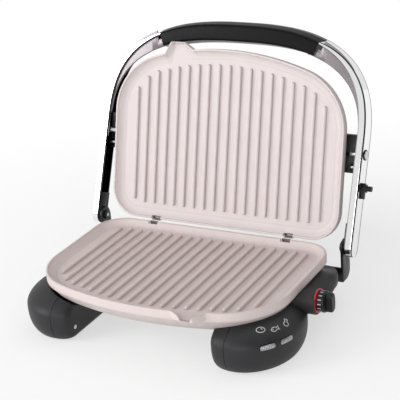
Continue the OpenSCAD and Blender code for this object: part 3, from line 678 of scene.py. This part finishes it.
def foot_patch(place, u, v, out):
    """Points on the front foot, u to the right of and v above a place given by turn and rise in degrees, in
    millimetres, standing off by out."""
    turn, rise = (math.radians(a) for a in place)
    t_step = math.hypot(FOOT_HALF[0] * math.sin(turn), FOOT_HALF[1] * math.cos(turn)) * math.cos(rise)
    reach = math.hypot(FOOT_HALF[0] * math.cos(turn), FOOT_HALF[1] * math.sin(turn))
    r_step = math.hypot(FOOT_RISE * math.cos(rise), reach * math.sin(rise))
    t, r = turn + u / t_step, rise + v / r_step
    unit = np.stack([np.cos(r) * np.cos(t), np.cos(r) * np.sin(t), np.sin(r)], -1)
    size = np.array([*FOOT_HALF, FOOT_RISE])
    normal = unit / size
    normal /= np.linalg.norm(normal, axis=-1)[..., None]
    return np.array([*FOOT, FOOT_MID]) + unit * size + normal * np.asarray(out)[..., None]


def lens_patch(shell, place, half_u, half_v, lift, ribs=0):
    """A rounded window on the foot: its ends are drawn in, and ribs cross it."""
    s, w = np.meshgrid(np.linspace(-1, 1, max(ribs, 2) * 8 + 1), np.linspace(-1, 1, 11))
    width = half_u - 1.9 * (1 - np.sqrt(1 - 0.98 * w ** 2))
    edge = np.maximum(np.abs(s), np.abs(w)) ** 8
    wave = 0.45 * np.abs(np.cos((s + 1) / 2 * ribs * math.pi)) if ribs else 0
    top = foot_patch(place, s * width, w * half_v, (lift + wave) * (1 - 0.5 * edge))
    low = foot_patch(place, s * width, w * half_v, np.full(s.shape, -0.9))
    rim = [np.concatenate([p[0], p[1:-1, -1], p[-1][::-1], p[1:-1, 0][::-1]]) for p in (low, top)]
    # Painted shade in the valleys between the window's ribs.
    valley_painted_shade = 0.75 * np.abs(np.sin((s + 1) / 2 * ribs * math.pi)) ** 2 if ribs else 0 * s
    shell.grid(top, wrap=False, caps=(False, False), tone=valley_painted_shade.ravel())
    shell.grid(low[:, ::-1], wrap=False, caps=(False, False))
    shell.grid(np.array(rim), caps=(False, False))


def outline_stroke(shell, place, line, width=0.85):
    """A raised closed line on the foot."""
    step = np.roll(line, -1, 0) - np.roll(line, 1, 0)
    step /= np.linalg.norm(step, axis=1)[:, None]
    side = np.stack([-step[:, 1], step[:, 0]], -1) * width / 2
    a, b = line + side, line - side
    rows = [foot_patch(place, p[:, 0], p[:, 1], np.full(len(p), out))
            for p, out in ((a, 0.16), (b, 0.16), (b, -0.5), (a, -0.5))]
    shell.grid(np.array(rows), loop=True)


def steak_outline():
    """A lobed round: the radius swells with the cosine of the turn and of twice the turn."""
    t = np.linspace(0, 2 * math.pi, 48, endpoint=False)
    r = 3.9 * (1 + 0.13 * np.cos(t - 0.6) + 0.12 * np.cos(2 * t + 0.9))
    return np.stack([1.08 * r * np.cos(t), 0.95 * r * np.sin(t)], -1)


def fish_outline():
    """Two sine arcs from the nose to the root of the tail, and a notched tail."""
    s = np.linspace(0, 0.92, 15)
    arc = np.stack([-5.0 + 7.6 * s, 2.5 * np.sin(math.pi * s) ** 0.8], -1)
    tail = np.array([[4.9, 2.4], [4.2, 0.0], [4.9, -2.4]])
    return np.concatenate([arc, tail, (arc * [1, -1])[:0:-1]])


def drumstick_outline():
    """A round of meat that narrows to a bone with two knuckles."""
    return rounded([(-3.9, -1.4), (-1.8, -3.9), (1.4, -2.9), (2.0, 0.2), (3.3, 1.5), (4.7, 1.4), (4.8, 2.9),
                    (3.6, 3.3), (3.2, 4.5), (1.9, 4.2), (1.7, 2.8), (0.0, 2.0), (-2.8, 1.6)], 0.55, 2)


# Handle

def loop_point(half_w, rise, a):
    """Superellipse |x / half_w| ^ n + |(v - foot) / rise| ^ n = 1, by its turn a."""
    x = half_w * np.sign(np.cos(a)) * np.abs(np.cos(a)) ** (2 / LOOP_POWER)
    return np.stack([x, LOOP_FOOT + rise * np.sin(a) ** (2 / LOOP_POWER)], -1)


def loop_path(half_w, rise, x_end, straight, count):
    """Points from the arm's foot up the straight leg and round the loop to x_end, evenly spaced."""
    a = np.linspace(0, math.pi, 4001)
    curve = loop_point(half_w, rise, a)
    curve = curve[curve[:, 0] >= x_end - 1e-6] if x_end is not None else curve
    leg = np.column_stack([np.full(60, half_w), np.linspace(straight, LOOP_FOOT - 0.5, 60)])
    line = np.concatenate([leg, curve]) if straight is not None else curve
    run = np.concatenate([[0], np.cumsum(np.linalg.norm(np.diff(line, axis=0), axis=1))])
    s = np.linspace(0, run[-1], count)
    return np.column_stack([np.interp(s, run, line[:, 0]), np.interp(s, run, line[:, 1])])


def inward(path):
    """Unit normals of a path that runs counter-clockwise, pointing to its inside."""
    step = np.gradient(path, axis=0)
    step /= np.linalg.norm(step, axis=1)[:, None]
    return np.stack([-step[:, 1], step[:, 0]], -1)


def rounded(corners, reach, steps=4):
    """A closed polygon, or one for every step of a path, with each corner P turned into the curve
    (1-t)^2 A + 2t(1-t) P + t^2 B, where A and B lie on its two sides at the given reach."""
    p = np.asarray(corners, float)
    reach = np.broadcast_to(reach, p.shape[-2])
    t = np.linspace(0, 1, steps + 1)[:, None]
    out = []
    for i, r in enumerate(reach):
        here = p[..., i:i + 1, :]
        if r <= 0:
            out.append(here)
            continue
        sides = [p[..., k % len(reach), None, :] - here for k in (i - 1, i + 1)]
        a, b = (here + side / np.linalg.norm(side, axis=-1, keepdims=True) * r for side in sides)
        out.append((1 - t) ** 2 * a + 2 * t * (1 - t) * here + t ** 2 * b)
    return np.concatenate(out, -2)


def section_corners(depths, fronts):
    """A section's corners at every step of a path: a depth is one number, or one for each step."""
    depths = np.stack(np.broadcast_arrays(*depths), -1)
    return np.stack(np.broadcast_arrays(depths, np.array(fronts, float)), -1)


def sweep(path, sections):
    """Carries sections along a path in the handle's plane: each point of a section stands off the path by
    its depth times the path's inward normal."""
    xy = path[:, None] + inward(path)[:, None] * sections[..., :1]
    return np.concatenate([xy, sections[..., 1:]], -1)


def band_slant(x):
    """How far the band's front edge lies below its back edge: most at the grip, little on the legs."""
    return 1.2 + 6.0 * np.clip((184 - np.abs(x)) / 66, 0, 1)


ARM_ROUNDING = [1.4, 0, 0, 0, 0, 0.9, 0.5, 0, 0.7, 0.7, 0.5, 0.5, 0.7, 0.7]
# Painted shade round the section: the hollow painted dark where shade falls, and the rolled edges painted
# with dark reflections.
ARM_PAINTED_SHADE = [1, 0.9, 0, 0, 1, 1, 0, 0, 0.9, 1, 1, 1, 1, 0]
FACE_STEPS = (0.1, 0.15, 0.87, 0.91)
ARM_END = 12.0


def arm_shell():
    """A thin-walled channel, open to the inside, whose width falls to its round lower end as the root of
    1 - (v / end)^2. Painted shade darkens its hollow, and painted dark reflections line its rolled edges."""
    path = loop_path(LOOP_W, LOOP_RISE, GRIP_HALF, -11.8, 150)
    slant = band_slant(path[:, 0])
    depths = [0.2, *(0.2 + f * (slant - 0.2) for f in FACE_STEPS), slant, slant + 1.0, 9.1, 10.4, 10.4,
              slant + 2.6, 2.7, 10.4, 10.4]
    fronts = [-12, *(-12 + 23.2 * f for f in FACE_STEPS), 11.2, 11.9, 11.9, 11.9, 9.4, 9.4, -9.5, -9.5, -12]
    sections = rounded(section_corners(depths, fronts), ARM_ROUNDING, 3)
    v = np.minimum(path[:, 1], 0)
    sections[..., 1] *= np.sqrt(np.maximum(1 - (v / ARM_END) ** 2, 0.02))[:, None]
    tones = np.repeat(ARM_PAINTED_SHADE, [4 if r else 1 for r in ARM_ROUNDING])
    shell = Shell()
    shell.grid(sweep(path, sections), tone=np.tile(tones, len(path)))
    return shell


WEB_END = GRIP_HALF - 15.0
WEB_FRONTS = np.array([6.2, 8.6, 9.0, 9.0, 8.6, 6.2])


def web_shell():
    """The plate inside the band's round part, with a tab under the grip, ruled from loop to loop and closed
    by a round end whose size falls as the root of 1 - t^2."""
    outer = loop_path(LOOP_W - 2.2, LOOP_RISE - 2.2, WEB_END, LOOP_FOOT - 20, 90)
    inner = loop_path(BAND_W, BAND_RISE, WEB_END, LOOP_FOOT - 20, 90)
    tab = np.clip((GRIP_HALF + 0.3 - inner[:, :1]) / 0.6, 0, 1)
    edge = outer * (1 - tab) + (inner + (outer - inner) * (13.0 / 29.0)) * tab
    across = inner - edge
    lip = inner - across / np.linalg.norm(across, axis=1)[:, None] * 0.5
    plan = np.stack([edge, edge, edge + across * 0.4, lip, inner, inner], 1)
    middle = plan[-1].mean(0)
    t = np.linspace(0.15, 1, 8)[:, None, None]
    size = np.sqrt(np.maximum(1 - (t * 0.98) ** 2, 0))
    plan = np.concatenate([plan, (plan[-1] - middle) * size + middle + np.array([-6.0, -0.1]) * t])
    front = np.broadcast_to(WEB_FRONTS[:, None], (*plan.shape[:2], 1))
    shell = Shell()
    shell.grid(np.concatenate([plan, front], -1))
    return shell


GRIP_SLANT = 8.2
GRIP_SEAM = GRIP_SLANT * 0.5 * 0.62


def grip_shell(front):
    """Half of the grip: the loop's band between the arms, its top leaning to the front, its edges rounded."""
    curve = loop_point(LOOP_W, LOOP_RISE, np.linspace(0, math.pi, 6001))
    curve = curve[np.abs(curve[:, 0]) <= GRIP_HALF - 0.15]
    path = curve[np.linspace(0, len(curve) - 1, 121).astype(int)]
    inner_v = LOOP_FOOT + BAND_RISE * (1 - (np.abs(path[:, 0]) / BAND_W) ** LOOP_POWER) ** (1 / LOOP_POWER)
    depth = (path[:, 1] - inner_v) * np.abs(inward(path)[:, 1])
    if front:
        corners = section_corners([GRIP_SEAM, GRIP_SLANT, depth, depth], [0.15, 12.6, 12.6, 0.15])
        sections = rounded(corners, [0.0, 3.2, 3.0, 0.0], 5)
    else:
        corners = section_corners([0.1, GRIP_SEAM, depth, depth], [-13.2, -0.15, -0.15, -13.2])
        sections = rounded(corners, [3.4, 0.0, 0.0, 3.4], 5)
    shell = Shell()
    shell.grid(sweep(path, sections))
    return shell


# Knob and fasteners

MARK_ARC = np.linspace(-0.042, 0.042, 5)
BAR_HALF = 5.2
KNOB_START = KNOB_SEAT + 0.95
KNOB_PROFILE = [(3.0, 0, 0), (12.9, 0, 0), (13.2, 0.4, 0), (13.2, 7.8, 0), (13.0, 8.6, 0), (12.4, 9.2, 0),
                (12.3, 9.5, 0.4), (12.3, 9.9, 1), (12.3, 14.2, 1), (12.1, 15.8, 1), (11.4, 16.9, 1),
                (10.2, 17.5, 1), (4.0, 17.65, 1)]
RING_PROFILE = [(5.6, -1.7), (14.6, -1.7), (14.6, 0.1), (14.3, 0.5), (13.8, 0.6), (5.6, 0.6)]


def knob_shell():
    """Rings of (radius, height, bar): the round skirt's sides draw in to a straight bar, |cos| ^ 0.45, as
    bar goes from 0 to 1."""
    t = np.linspace(0, 2 * math.pi, 144, endpoint=False)
    r, x, bar = (column[:, None] for column in np.array(KNOB_PROFILE, float).T)
    a = r * np.cos(t)
    squeezed = np.sign(a) * BAR_HALF * (np.abs(a) / r) ** 0.45 * np.minimum(1, r / 9.0)
    y = KNOB_Y + a * (1 - bar) + squeezed * bar
    shell = Shell()
    shell.grid(np.stack(np.broadcast_arrays(KNOB_START + x, y, KNOB_Z + r * np.sin(t)), -1))
    return shell


def ring_shell():
    """The ring behind the knob, its bore closed by joining the profile's ends."""
    shell = Shell()
    shell.grid(lathe(RING_PROFILE, (KNOB_SEAT, KNOB_Y, KNOB_Z), "x", 96), loop=True)
    return shell


def marks_shell(count):
    """Painted bars round the knob's skirt, each an arc out along one end and back along the other."""
    shell = Shell()
    x = KNOB_START + np.repeat([2.0, 6.2], len(MARK_ARC))
    for turn in np.radians(-40 + np.arange(count) * 260 / (count - 1)):
        a = turn + np.concatenate([MARK_ARC, MARK_ARC[::-1]])
        shell.grid(np.array([np.column_stack([x, KNOB_Y - r * np.cos(a), KNOB_Z + r * np.sin(a)])
                             for r in (13.1, 13.27)]))
    return shell


def turned_ends(node, profile, y, z, columns, sides, loop=False):
    """A profile of (radius, distance past the end) turned about x at the ends of a CAD node."""
    low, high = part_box(node)
    shell = Shell()
    for side in sides:
        x = 1000 * (high.x if side > 0 else low.x) + MID[0]
        shell.grid(lathe([(r, x + far * side) for r, far in profile], (0, y, z), "x", columns), loop=loop)
    return shell


PIN_CENTRE = [(2.3, -1), (2.3, 0.15), (2.0, 0.4), (0.6, 0.5)]
WASHER = [(6.9, -1.6), (6.9, -0.9), (6.5, -0.6), (4.0, -0.6), (4.0, -1.6)]


# Settings

def colour_setting(name, description, default):
    return bpy.props.FloatVectorProperty(name=name, description=description, subtype="COLOR",
                                         default=default, min=0, max=1)


class GrillSizes(bpy.types.PropertyGroup):
    edge: bpy.props.FloatProperty(name="Edge rounding", description="Rounding of the small black parts",
                                  default=0.0006, min=0.0, max=0.002, unit="LENGTH")
    mark_count: bpy.props.IntProperty(name="Knob marks", description="White marks round the knob", default=12,
                                      min=4, max=16)
    lens_ribs: bpy.props.IntProperty(name="Lens ribs", description="Ribs across each indicator window",
                                     default=9, min=3, max=15)


class GrillColours(bpy.types.PropertyGroup):
    upper: colour_setting("Upper plate", "Coat of the upper plate", (0.70, 0.635, 0.63))
    # The lower coat is the same coating as the upper plate's, set darker: painted shade.
    lower: colour_setting("Lower plate", "Coat of the lower plate", (0.67, 0.585, 0.57))
    housing: colour_setting("Housing", "Bowl under the plate and lid frame", (0.56, 0.50, 0.49))
    pod: colour_setting("Pods", "Charcoal side pods and lid cover", (0.023, 0.023, 0.025))
    grip: colour_setting("Grip", "Black grip", (0.005, 0.005, 0.0055))
    ring: colour_setting("Knob ring", "Red ring behind the knob", (0.48, 0.012, 0.02))


FINISHES = {}


def finish(name):
    return FINISHES[name]


def build_piece(name, shell, place, sharp, coat, body, slot, *nodes):
    """Makes a piece's mesh, dresses it and rides it on its body."""
    return finish_piece(mesh_object(name, shell, place, sharp), finish(coat), body, slot, *nodes)


class GRILL_OT_finishes(bpy.types.Operator):
    """Makes the finishes and dresses the carried-over CAD nodes"""
    bl_idname = "grill.finishes"
    bl_label = "Finishes"

    def execute(self, context):
        c = context.scene.grill_colours
        FINISHES.update({
            "upper_ceramic": ceramic("upper_coat", tuple(c.upper)),
            "lower_ceramic": ceramic("lower_coat", tuple(c.lower)),
            "housing": plastic("housing_satin", tuple(c.housing), 0.5, 1100, 0.15),
            "charcoal": plastic("pod_charcoal", tuple(c.pod), 0.5, 1700, 0.3, gloss=0.3),
            "grip": plastic("grip_black", tuple(c.grip), 0.3, 1900, 0.15, 0.08, 0.1),
            "black_plastic": plastic("small_parts_black", (0.006, 0.006, 0.0065), 0.4, 1700, 0.2, gloss=0.25),
            "knob": plastic("knob_black", (0.009, 0.009, 0.01), 0.42, 1900, 0.2, gloss=0.3),
            "red": plastic("ring_red", tuple(c.ring), 0.2, 900, 0.05, 0.06),
            "rubber": plastic("foot_rubber", (0.02, 0.02, 0.02), 0.75, 1200, 0.4),
            "chrome": metal("arm_chrome", (0.9, 0.9, 0.91), 0.045, 0.03),
            "web": metal("web_satin", (0.21, 0.19, 0.2), 0.32, 0.08),
            "steel": metal("screw_steel", (0.62, 0.62, 0.63), 0.26, 0.12, (1, 1, 8), 0.1),
            "black_steel": plastic("bracket_black", (0.008, 0.008, 0.0085), 0.36, 1000, 0.12, gloss=0.3),
            "reflector": metal("reflector_sheet", (0.8, 0.8, 0.81), 0.16, 0.1, (1, 12, 1), 0.06),
            "element": plastic("element_oxide", (0.05, 0.045, 0.042), 0.6, 1400, 0.3, 0.2),
            "insulator": plastic("insulator_white", (0.62, 0.59, 0.52), 0.7, 1300, 0.3),
            "window": metal("lens_silver", (0.6, 0.6, 0.61), 0.28, 0.1),
            "lamp": plastic("lamp_amber", (0.7, 0.32, 0.12), 0.12, 900, 0.02),
            "paint": plastic("mark_white", (0.5, 0.5, 0.51), 0.5, 1200, 0.05),
            "catch": metal("catch_bronze", (0.22, 0.185, 0.18), 0.42, 0.1),
        })
        slots = {row["node"]: row["material_slot"] for row in frame["record"]["subparts"]}
        for node, obj in frame["nodes"].items():
            material = FINISHES[slots[node]]
            if not obj.data.materials:
                obj.data.materials.append(material)
            for k in range(len(obj.data.materials)):
                obj.data.materials[k] = material
        return {"FINISHED"}


class GRILL_OT_plates(bpy.types.Operator):
    """Builds the two ribbed plates"""
    bl_idname = "grill.plates"
    bl_label = "Plates"

    def execute(self, context):
        # lit: the share of each rib's painted shade kept on its lit side.
        for name, place, body, lit in (("lower", base, "base", 0.75), ("upper", lid, "lid", 0.25)):
            build_piece(name + "_grill_plate", plate_shell(lit), place, 50,
                        name + "_ceramic", body, name + "_ceramic", name + "_plate")
        return {"FINISHED"}


class GRILL_OT_housings(bpy.types.Operator):
    """Builds the bowl under the plate, the lid's frame and its cover"""
    bl_idname = "grill.housings"
    bl_label = "Housings"

    def execute(self, context):
        build_piece("base_bowl", tray_shell(BOWL), base, 45, "housing", "base", "housing", "lower_housing")
        build_piece("lid_side_frame", tray_shell(LID_FRAME), lid, 45,
                    "housing", "lid", "housing", "lid_frame")
        build_piece("lid_back_cover", tray_shell(LID_COVER), lid, 45,
                    "charcoal", "lid", "charcoal", "lid_cover")
        return {"FINISHED"}


class GRILL_OT_pods(bpy.types.Operator):
    """Builds the two side pods, each a cover and an inner shell"""
    bl_idname = "grill.pods"
    bl_label = "Pods"

    def execute(self, context):
        for part, x1, x2, node in (("cover", SEAM_X + 0.25, 260, "pod_cover"),
                                   ("inner", INNER_X - 6, SEAM_X - 0.35, "pod_inner_shell")):
            plain = pod_object("left_pod_" + part, x1, x2, False)
            if part == "cover":
                right = pod_object("right_pod_" + part, x1, x2, True)
            else:
                right = plain.copy()
                right.data = plain.data.copy()
                right.name = "right_pod_" + part
                bpy.context.scene.collection.objects.link(right)
            co = np.empty(len(plain.data.vertices) * 3)
            plain.data.vertices.foreach_get("co", co)
            co = co.reshape(-1, 3)
            co[:, 0] = -2 * MID[0] / 1000 - co[:, 0]
            plain.data.vertices.foreach_set("co", co.ravel())
            plain.data.flip_normals()
            for side, pod in (("left", plain), ("right", right)):
                shade(pod.data, 38)
                finish_piece(pod, finish("charcoal"), "base", "charcoal", side + "_" + node)
        return {"FINISHED"}


class GRILL_OT_handle(bpy.types.Operator):
    """Builds the chrome arms, their webs and the grip"""
    bl_idname = "grill.handle"
    bl_label = "Handle"

    def execute(self, context):
        arm, web = arm_shell(), web_shell()
        for side in ("left", "right"):
            a = arm.mirrored() if side == "left" else arm
            w = web.mirrored() if side == "left" else web
            build_piece(side + "_arm_band", a, handle, 30, "chrome", "handle", "chrome", side + "_arm")
            build_piece(side + "_arm_web", w, handle, 40, "web", "handle", "chrome")
        for part in ("front", "back"):
            build_piece("grip_" + part + "_shell", grip_shell(part == "front"), handle, 40,
                        "grip", "handle", "grip", "grip_" + part)
        return {"FINISHED"}


class GRILL_OT_hardware(bpy.types.Operator):
    """Rounds the edges of the hinge parts, lid brackets, catches and slider"""
    bl_idname = "grill.hardware"
    bl_label = "Hardware"

    def execute(self, context):
        edge = context.scene.grill_sizes.edge * 1000
        slots = {row["node"]: row["material_slot"] for row in frame["record"]["subparts"]}
        rows = [(side + part, slot, body, edge)
                for part, slot, body in (("hinge_bracket", "black_steel", "base"),
                                         ("hinge_block", "black_plastic", "handle"),
                                         ("lid_bracket", "black_plastic", "lid"))
                for side in ("left_", "right_")]
        rows += [("height_slider", "black_plastic", "slider", edge), ("rubber_feet", "rubber", "base", edge),
                 ("lower_plate_catches", "catch", "base", 0.25),
                 ("upper_plate_catches", "catch", "lid", 0.25),
                 ("tilt_stop_pins", "steel", "lid", 0.4), ("lid_pivot_screws", "steel", "lid", 0.3),
                 ("left_hinge_pin", "black_steel", "base", 0.4),
                 ("right_hinge_pin", "black_steel", "base", 0.4),
                 ("grip_screws", "steel", "handle", 0.3), ("pod_screws", "steel", "base", 0.3)]
        for node, slot, body, width in rows:
            piece = softened(node + "_rounded", node, width)
            finish_piece(piece, finish(slot), body, slots[node], node)
        low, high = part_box("lid_pivot_screws")
        y, z = (500 * (low[k] + high[k]) + MID[k] for k in (1, 2))
        washers = turned_ends("lid_pivot_screws", WASHER, y, z, 48, (1, -1), loop=True)
        build_piece("pivot_washers", washers, base, 35, "black_steel", "lid", "steel")
        centres = Shell()
        for side, node in ((1, "left_hinge_pin"), (-1, "right_hinge_pin")):
            end = turned_ends(node, PIN_CENTRE, HINGE_Y, HINGE_Z, 40, (side,))
            centres.add(end.points[0], end.faces)
        build_piece("hinge_pin_centres", centres, base, 35, "steel", "base", "steel")
        return {"FINISHED"}


class GRILL_OT_controls(bpy.types.Operator):
    """Builds the knob, its ring, the indicator windows and the marks above them"""
    bl_idname = "grill.controls"
    bl_label = "Controls"

    def execute(self, context):
        sizes = context.scene.grill_sizes
        build_piece("knob_ring_gloss", ring_shell(), base, 35, "red", "base", "red", "knob_ring")
        build_piece("knob_body", knob_shell(), base, 35, "knob", "knob", "knob", "temperature_knob")
        build_piece("knob_marks", marks_shell(sizes.mark_count), base, 35, "paint", "knob", "knob")
        self.windows(sizes)
        return {"FINISHED"}

    def windows(self, sizes):
        """The ribbed windows in their frames, and the outlined pictures above them."""
        lenses, frames, pictures = Shell(), Shell(), Shell()
        for turn in WINDOW_TURNS:
            lens_patch(frames, (turn, WINDOW_RISE), 10.7, 3.9, 0.12)
            lens_patch(lenses, (turn, WINDOW_RISE), 9.5, 2.8, 0.4, sizes.lens_ribs)
        for place, line in zip(PICTURE_PLACES, (steak_outline(), fish_outline(), drumstick_outline())):
            outline_stroke(pictures, place, 1.12 * line, 1.0)
        t = np.linspace(0, 2 * math.pi, 14, endpoint=False)
        dot = np.stack([np.cos(t), np.sin(t)], -1)
        outline_stroke(pictures, PICTURE_PLACES[0], dot * 0.8 + [1.9, 1.3], 0.6)
        outline_stroke(pictures, PICTURE_PLACES[1], dot * 0.45 + [-2.8, 0.5], 0.6)
        build_piece("indicator_lenses", lenses, base, 50, "window", "base", "window", "indicator_windows")
        build_piece("lens_frames", frames, base, 50, "black_plastic", "base", "charcoal")
        build_piece("food_pictures", pictures, base, 50, "paint", "base", "charcoal")


LENS_MM = 118.176
CAMERA_TURNS = (28.71, 21.88, -4.35)
CAMERA_PLACE = (743.017, -1280.585, 684.175)
LAMPS = (("key", (-2.0, -1.7, 1.3), 1.4, 40, (0, 0, 0.12)),
         ("fill", (0.7, -2.6, 0.7), 1.2, 24, (0, 0, 0.12)),
         ("top", (0.1, 0.9, 2.2), 1.6, 5, (0, 0, 0.1)))


class GRILL_OT_stage(bpy.types.Operator):
    """Sets up the camera, the soft lamps, the white world and the pale floor"""
    bl_idname = "grill.stage"
    bl_label = "Stage"

    def execute(self, context):
        scene = context.scene
        camera = bpy.data.cameras.new("camera")
        camera.lens, camera.sensor_width, camera.sensor_fit = LENS_MM, 36, "HORIZONTAL"
        camera.clip_end = 50
        eye = bpy.data.objects.new("camera", camera)
        scene.collection.objects.link(eye)
        az, el, roll = (math.radians(v) for v in CAMERA_TURNS)
        back = Vector((math.sin(az) * math.cos(el), -math.cos(az) * math.cos(el), math.sin(el)))
        right = (-back).cross(Vector((0, 0, 1))).normalized()
        up = right.cross(-back)
        c, s = math.cos(roll), math.sin(roll)
        right, up = c * right + s * up, -s * right + c * up
        turn = Matrix((right, up, back)).transposed().to_4x4()
        place = base([CAMERA_PLACE])[0]
        eye.matrix_world = Matrix.Translation(Vector(place)) @ turn
        scene.camera = eye
        for name, spot, size, power, aim in LAMPS:
            lamp = bpy.data.lights.new(name, "AREA")
            lamp.energy, lamp.size = power, size
            holder = bpy.data.objects.new(name, lamp)
            scene.collection.objects.link(holder)
            direction = Vector(aim) - Vector(spot)
            holder.rotation_euler = direction.to_track_quat("-Z", "Y").to_euler()
            holder.location = spot
        self.world(scene)
        self.floor()
        return {"FINISHED"}

    def world(self, scene):
        """White for the camera, dimmer as a light, and for reflections white with a dark upright
        strip at the front right, as a studio's black flag gives polished metal its lines."""
        world = bpy.data.worlds.new("studio")
        scene.world = world
        world.use_nodes = True
        b = Board("studio", world.node_tree)
        ray = b.tree.nodes.new("ShaderNodeLightPath")
        seen = Wire(b, ray.outputs["Is Camera Ray"]) + Wire(b, ray.outputs["Is Transmission Ray"])
        glossy = Wire(b, ray.outputs["Is Glossy Ray"])
        way = b.add("ShaderNodeTexCoord", output=0)
        east = b.add("ShaderNodeSeparateXYZ", None, {0: way}, output=0)
        north = b.add("ShaderNodeSeparateXYZ", None, {0: way}, output=1)
        turn = east.maths("ARCTAN2", east, north * -1.0)
        off = turn.maths("ABSOLUTE", turn - 1.05)
        strip = b.remap(off, 0.62, 0.78, 0.03, 0.85)
        level = seen + glossy * strip + (1 - seen - glossy) * 0.5
        back = b.tree.nodes["Background"]
        back.inputs[0].default_value = (1, 1, 1, 1)
        b.feed(back.inputs[1], level)

    def floor(self):
        """A wide plane whose white glow to the camera and to reflections fades near the grill, where the
        lamps' light and the grill's shadow show."""
        shell = Shell()
        shell.grid(np.array([[[-6, -6, -0.002], [6, -6, -0.002], [6, 6, -0.002], [-6, 6, -0.002]],
                             [[-6, -6, 0], [6, -6, 0], [6, 6, 0], [-6, 6, 0]]], float))
        plane = mesh_object("floor", shell, lambda p: p)
        b = Board("floor_white")
        b.set(Base_Color=(0.97, 0.97, 0.97), Roughness=0.9, Specular_IOR_Level=0.0)
        ray = b.tree.nodes.new("ShaderNodeLightPath")
        glow = b.tree.nodes.new("ShaderNodeEmission")
        glow.inputs[0].default_value = (1, 1, 1, 1)
        mix = b.tree.nodes.new("ShaderNodeMixShader")
        seen = Wire(b, ray.outputs["Is Camera Ray"]) + Wire(b, ray.outputs["Is Glossy Ray"])
        place = b.add("ShaderNodeTexCoord", output=3)
        far = b.add("ShaderNodeVectorMath", {"operation": "LENGTH"}, {0: place}, output=1)
        b.feed(mix.inputs[0], seen * b.remap(far, 0.3, 0.75, 0.6, 1.0))
        b.tree.links.new(b.shader.outputs[0], mix.inputs[1])
        b.tree.links.new(glow.outputs[0], mix.inputs[2])
        out = b.tree.nodes["Material Output"]
        b.tree.links.new(mix.outputs[0], out.inputs[0])
        plane.data.materials.append(b.material)


class GRILL_PT_panel(bpy.types.Panel):
    bl_idname = "GRILL_PT_panel"
    bl_label = "Contact Grill"
    bl_space_type = "VIEW_3D"
    bl_region_type = "UI"
    bl_category = "Grill"

    def draw(self, context):
        for group in (context.scene.grill_sizes, context.scene.grill_colours):
            for key in group.__annotations__:
                self.layout.prop(group, key)
        for operator in OPERATORS:
            self.layout.operator(operator.bl_idname)


OPERATORS = (GRILL_OT_stage, GRILL_OT_finishes, GRILL_OT_plates, GRILL_OT_housings, GRILL_OT_pods,
             GRILL_OT_handle, GRILL_OT_hardware, GRILL_OT_controls)
CLASSES = (GrillSizes, GrillColours) + OPERATORS + (GRILL_PT_panel,)


def register():
    for cls in CLASSES:
        bpy.utils.register_class(cls)
    bpy.types.Scene.grill_sizes = bpy.props.PointerProperty(type=GrillSizes)
    bpy.types.Scene.grill_colours = bpy.props.PointerProperty(type=GrillColours)


def unregister():
    del bpy.types.Scene.grill_sizes
    del bpy.types.Scene.grill_colours
    for cls in reversed(CLASSES):
        bpy.utils.unregister_class(cls)


def corners(box):
    return [list(map(float, corner_)) for corner_ in box]


def main():
    register()
    view = bpy.context.scene.view_settings
    view.view_transform = "Standard"
    for operator in OPERATORS:
        group, name = operator.bl_idname.split(".")
        getattr(getattr(bpy.ops, group), name)()


if __name__ == "__main__":
    main()
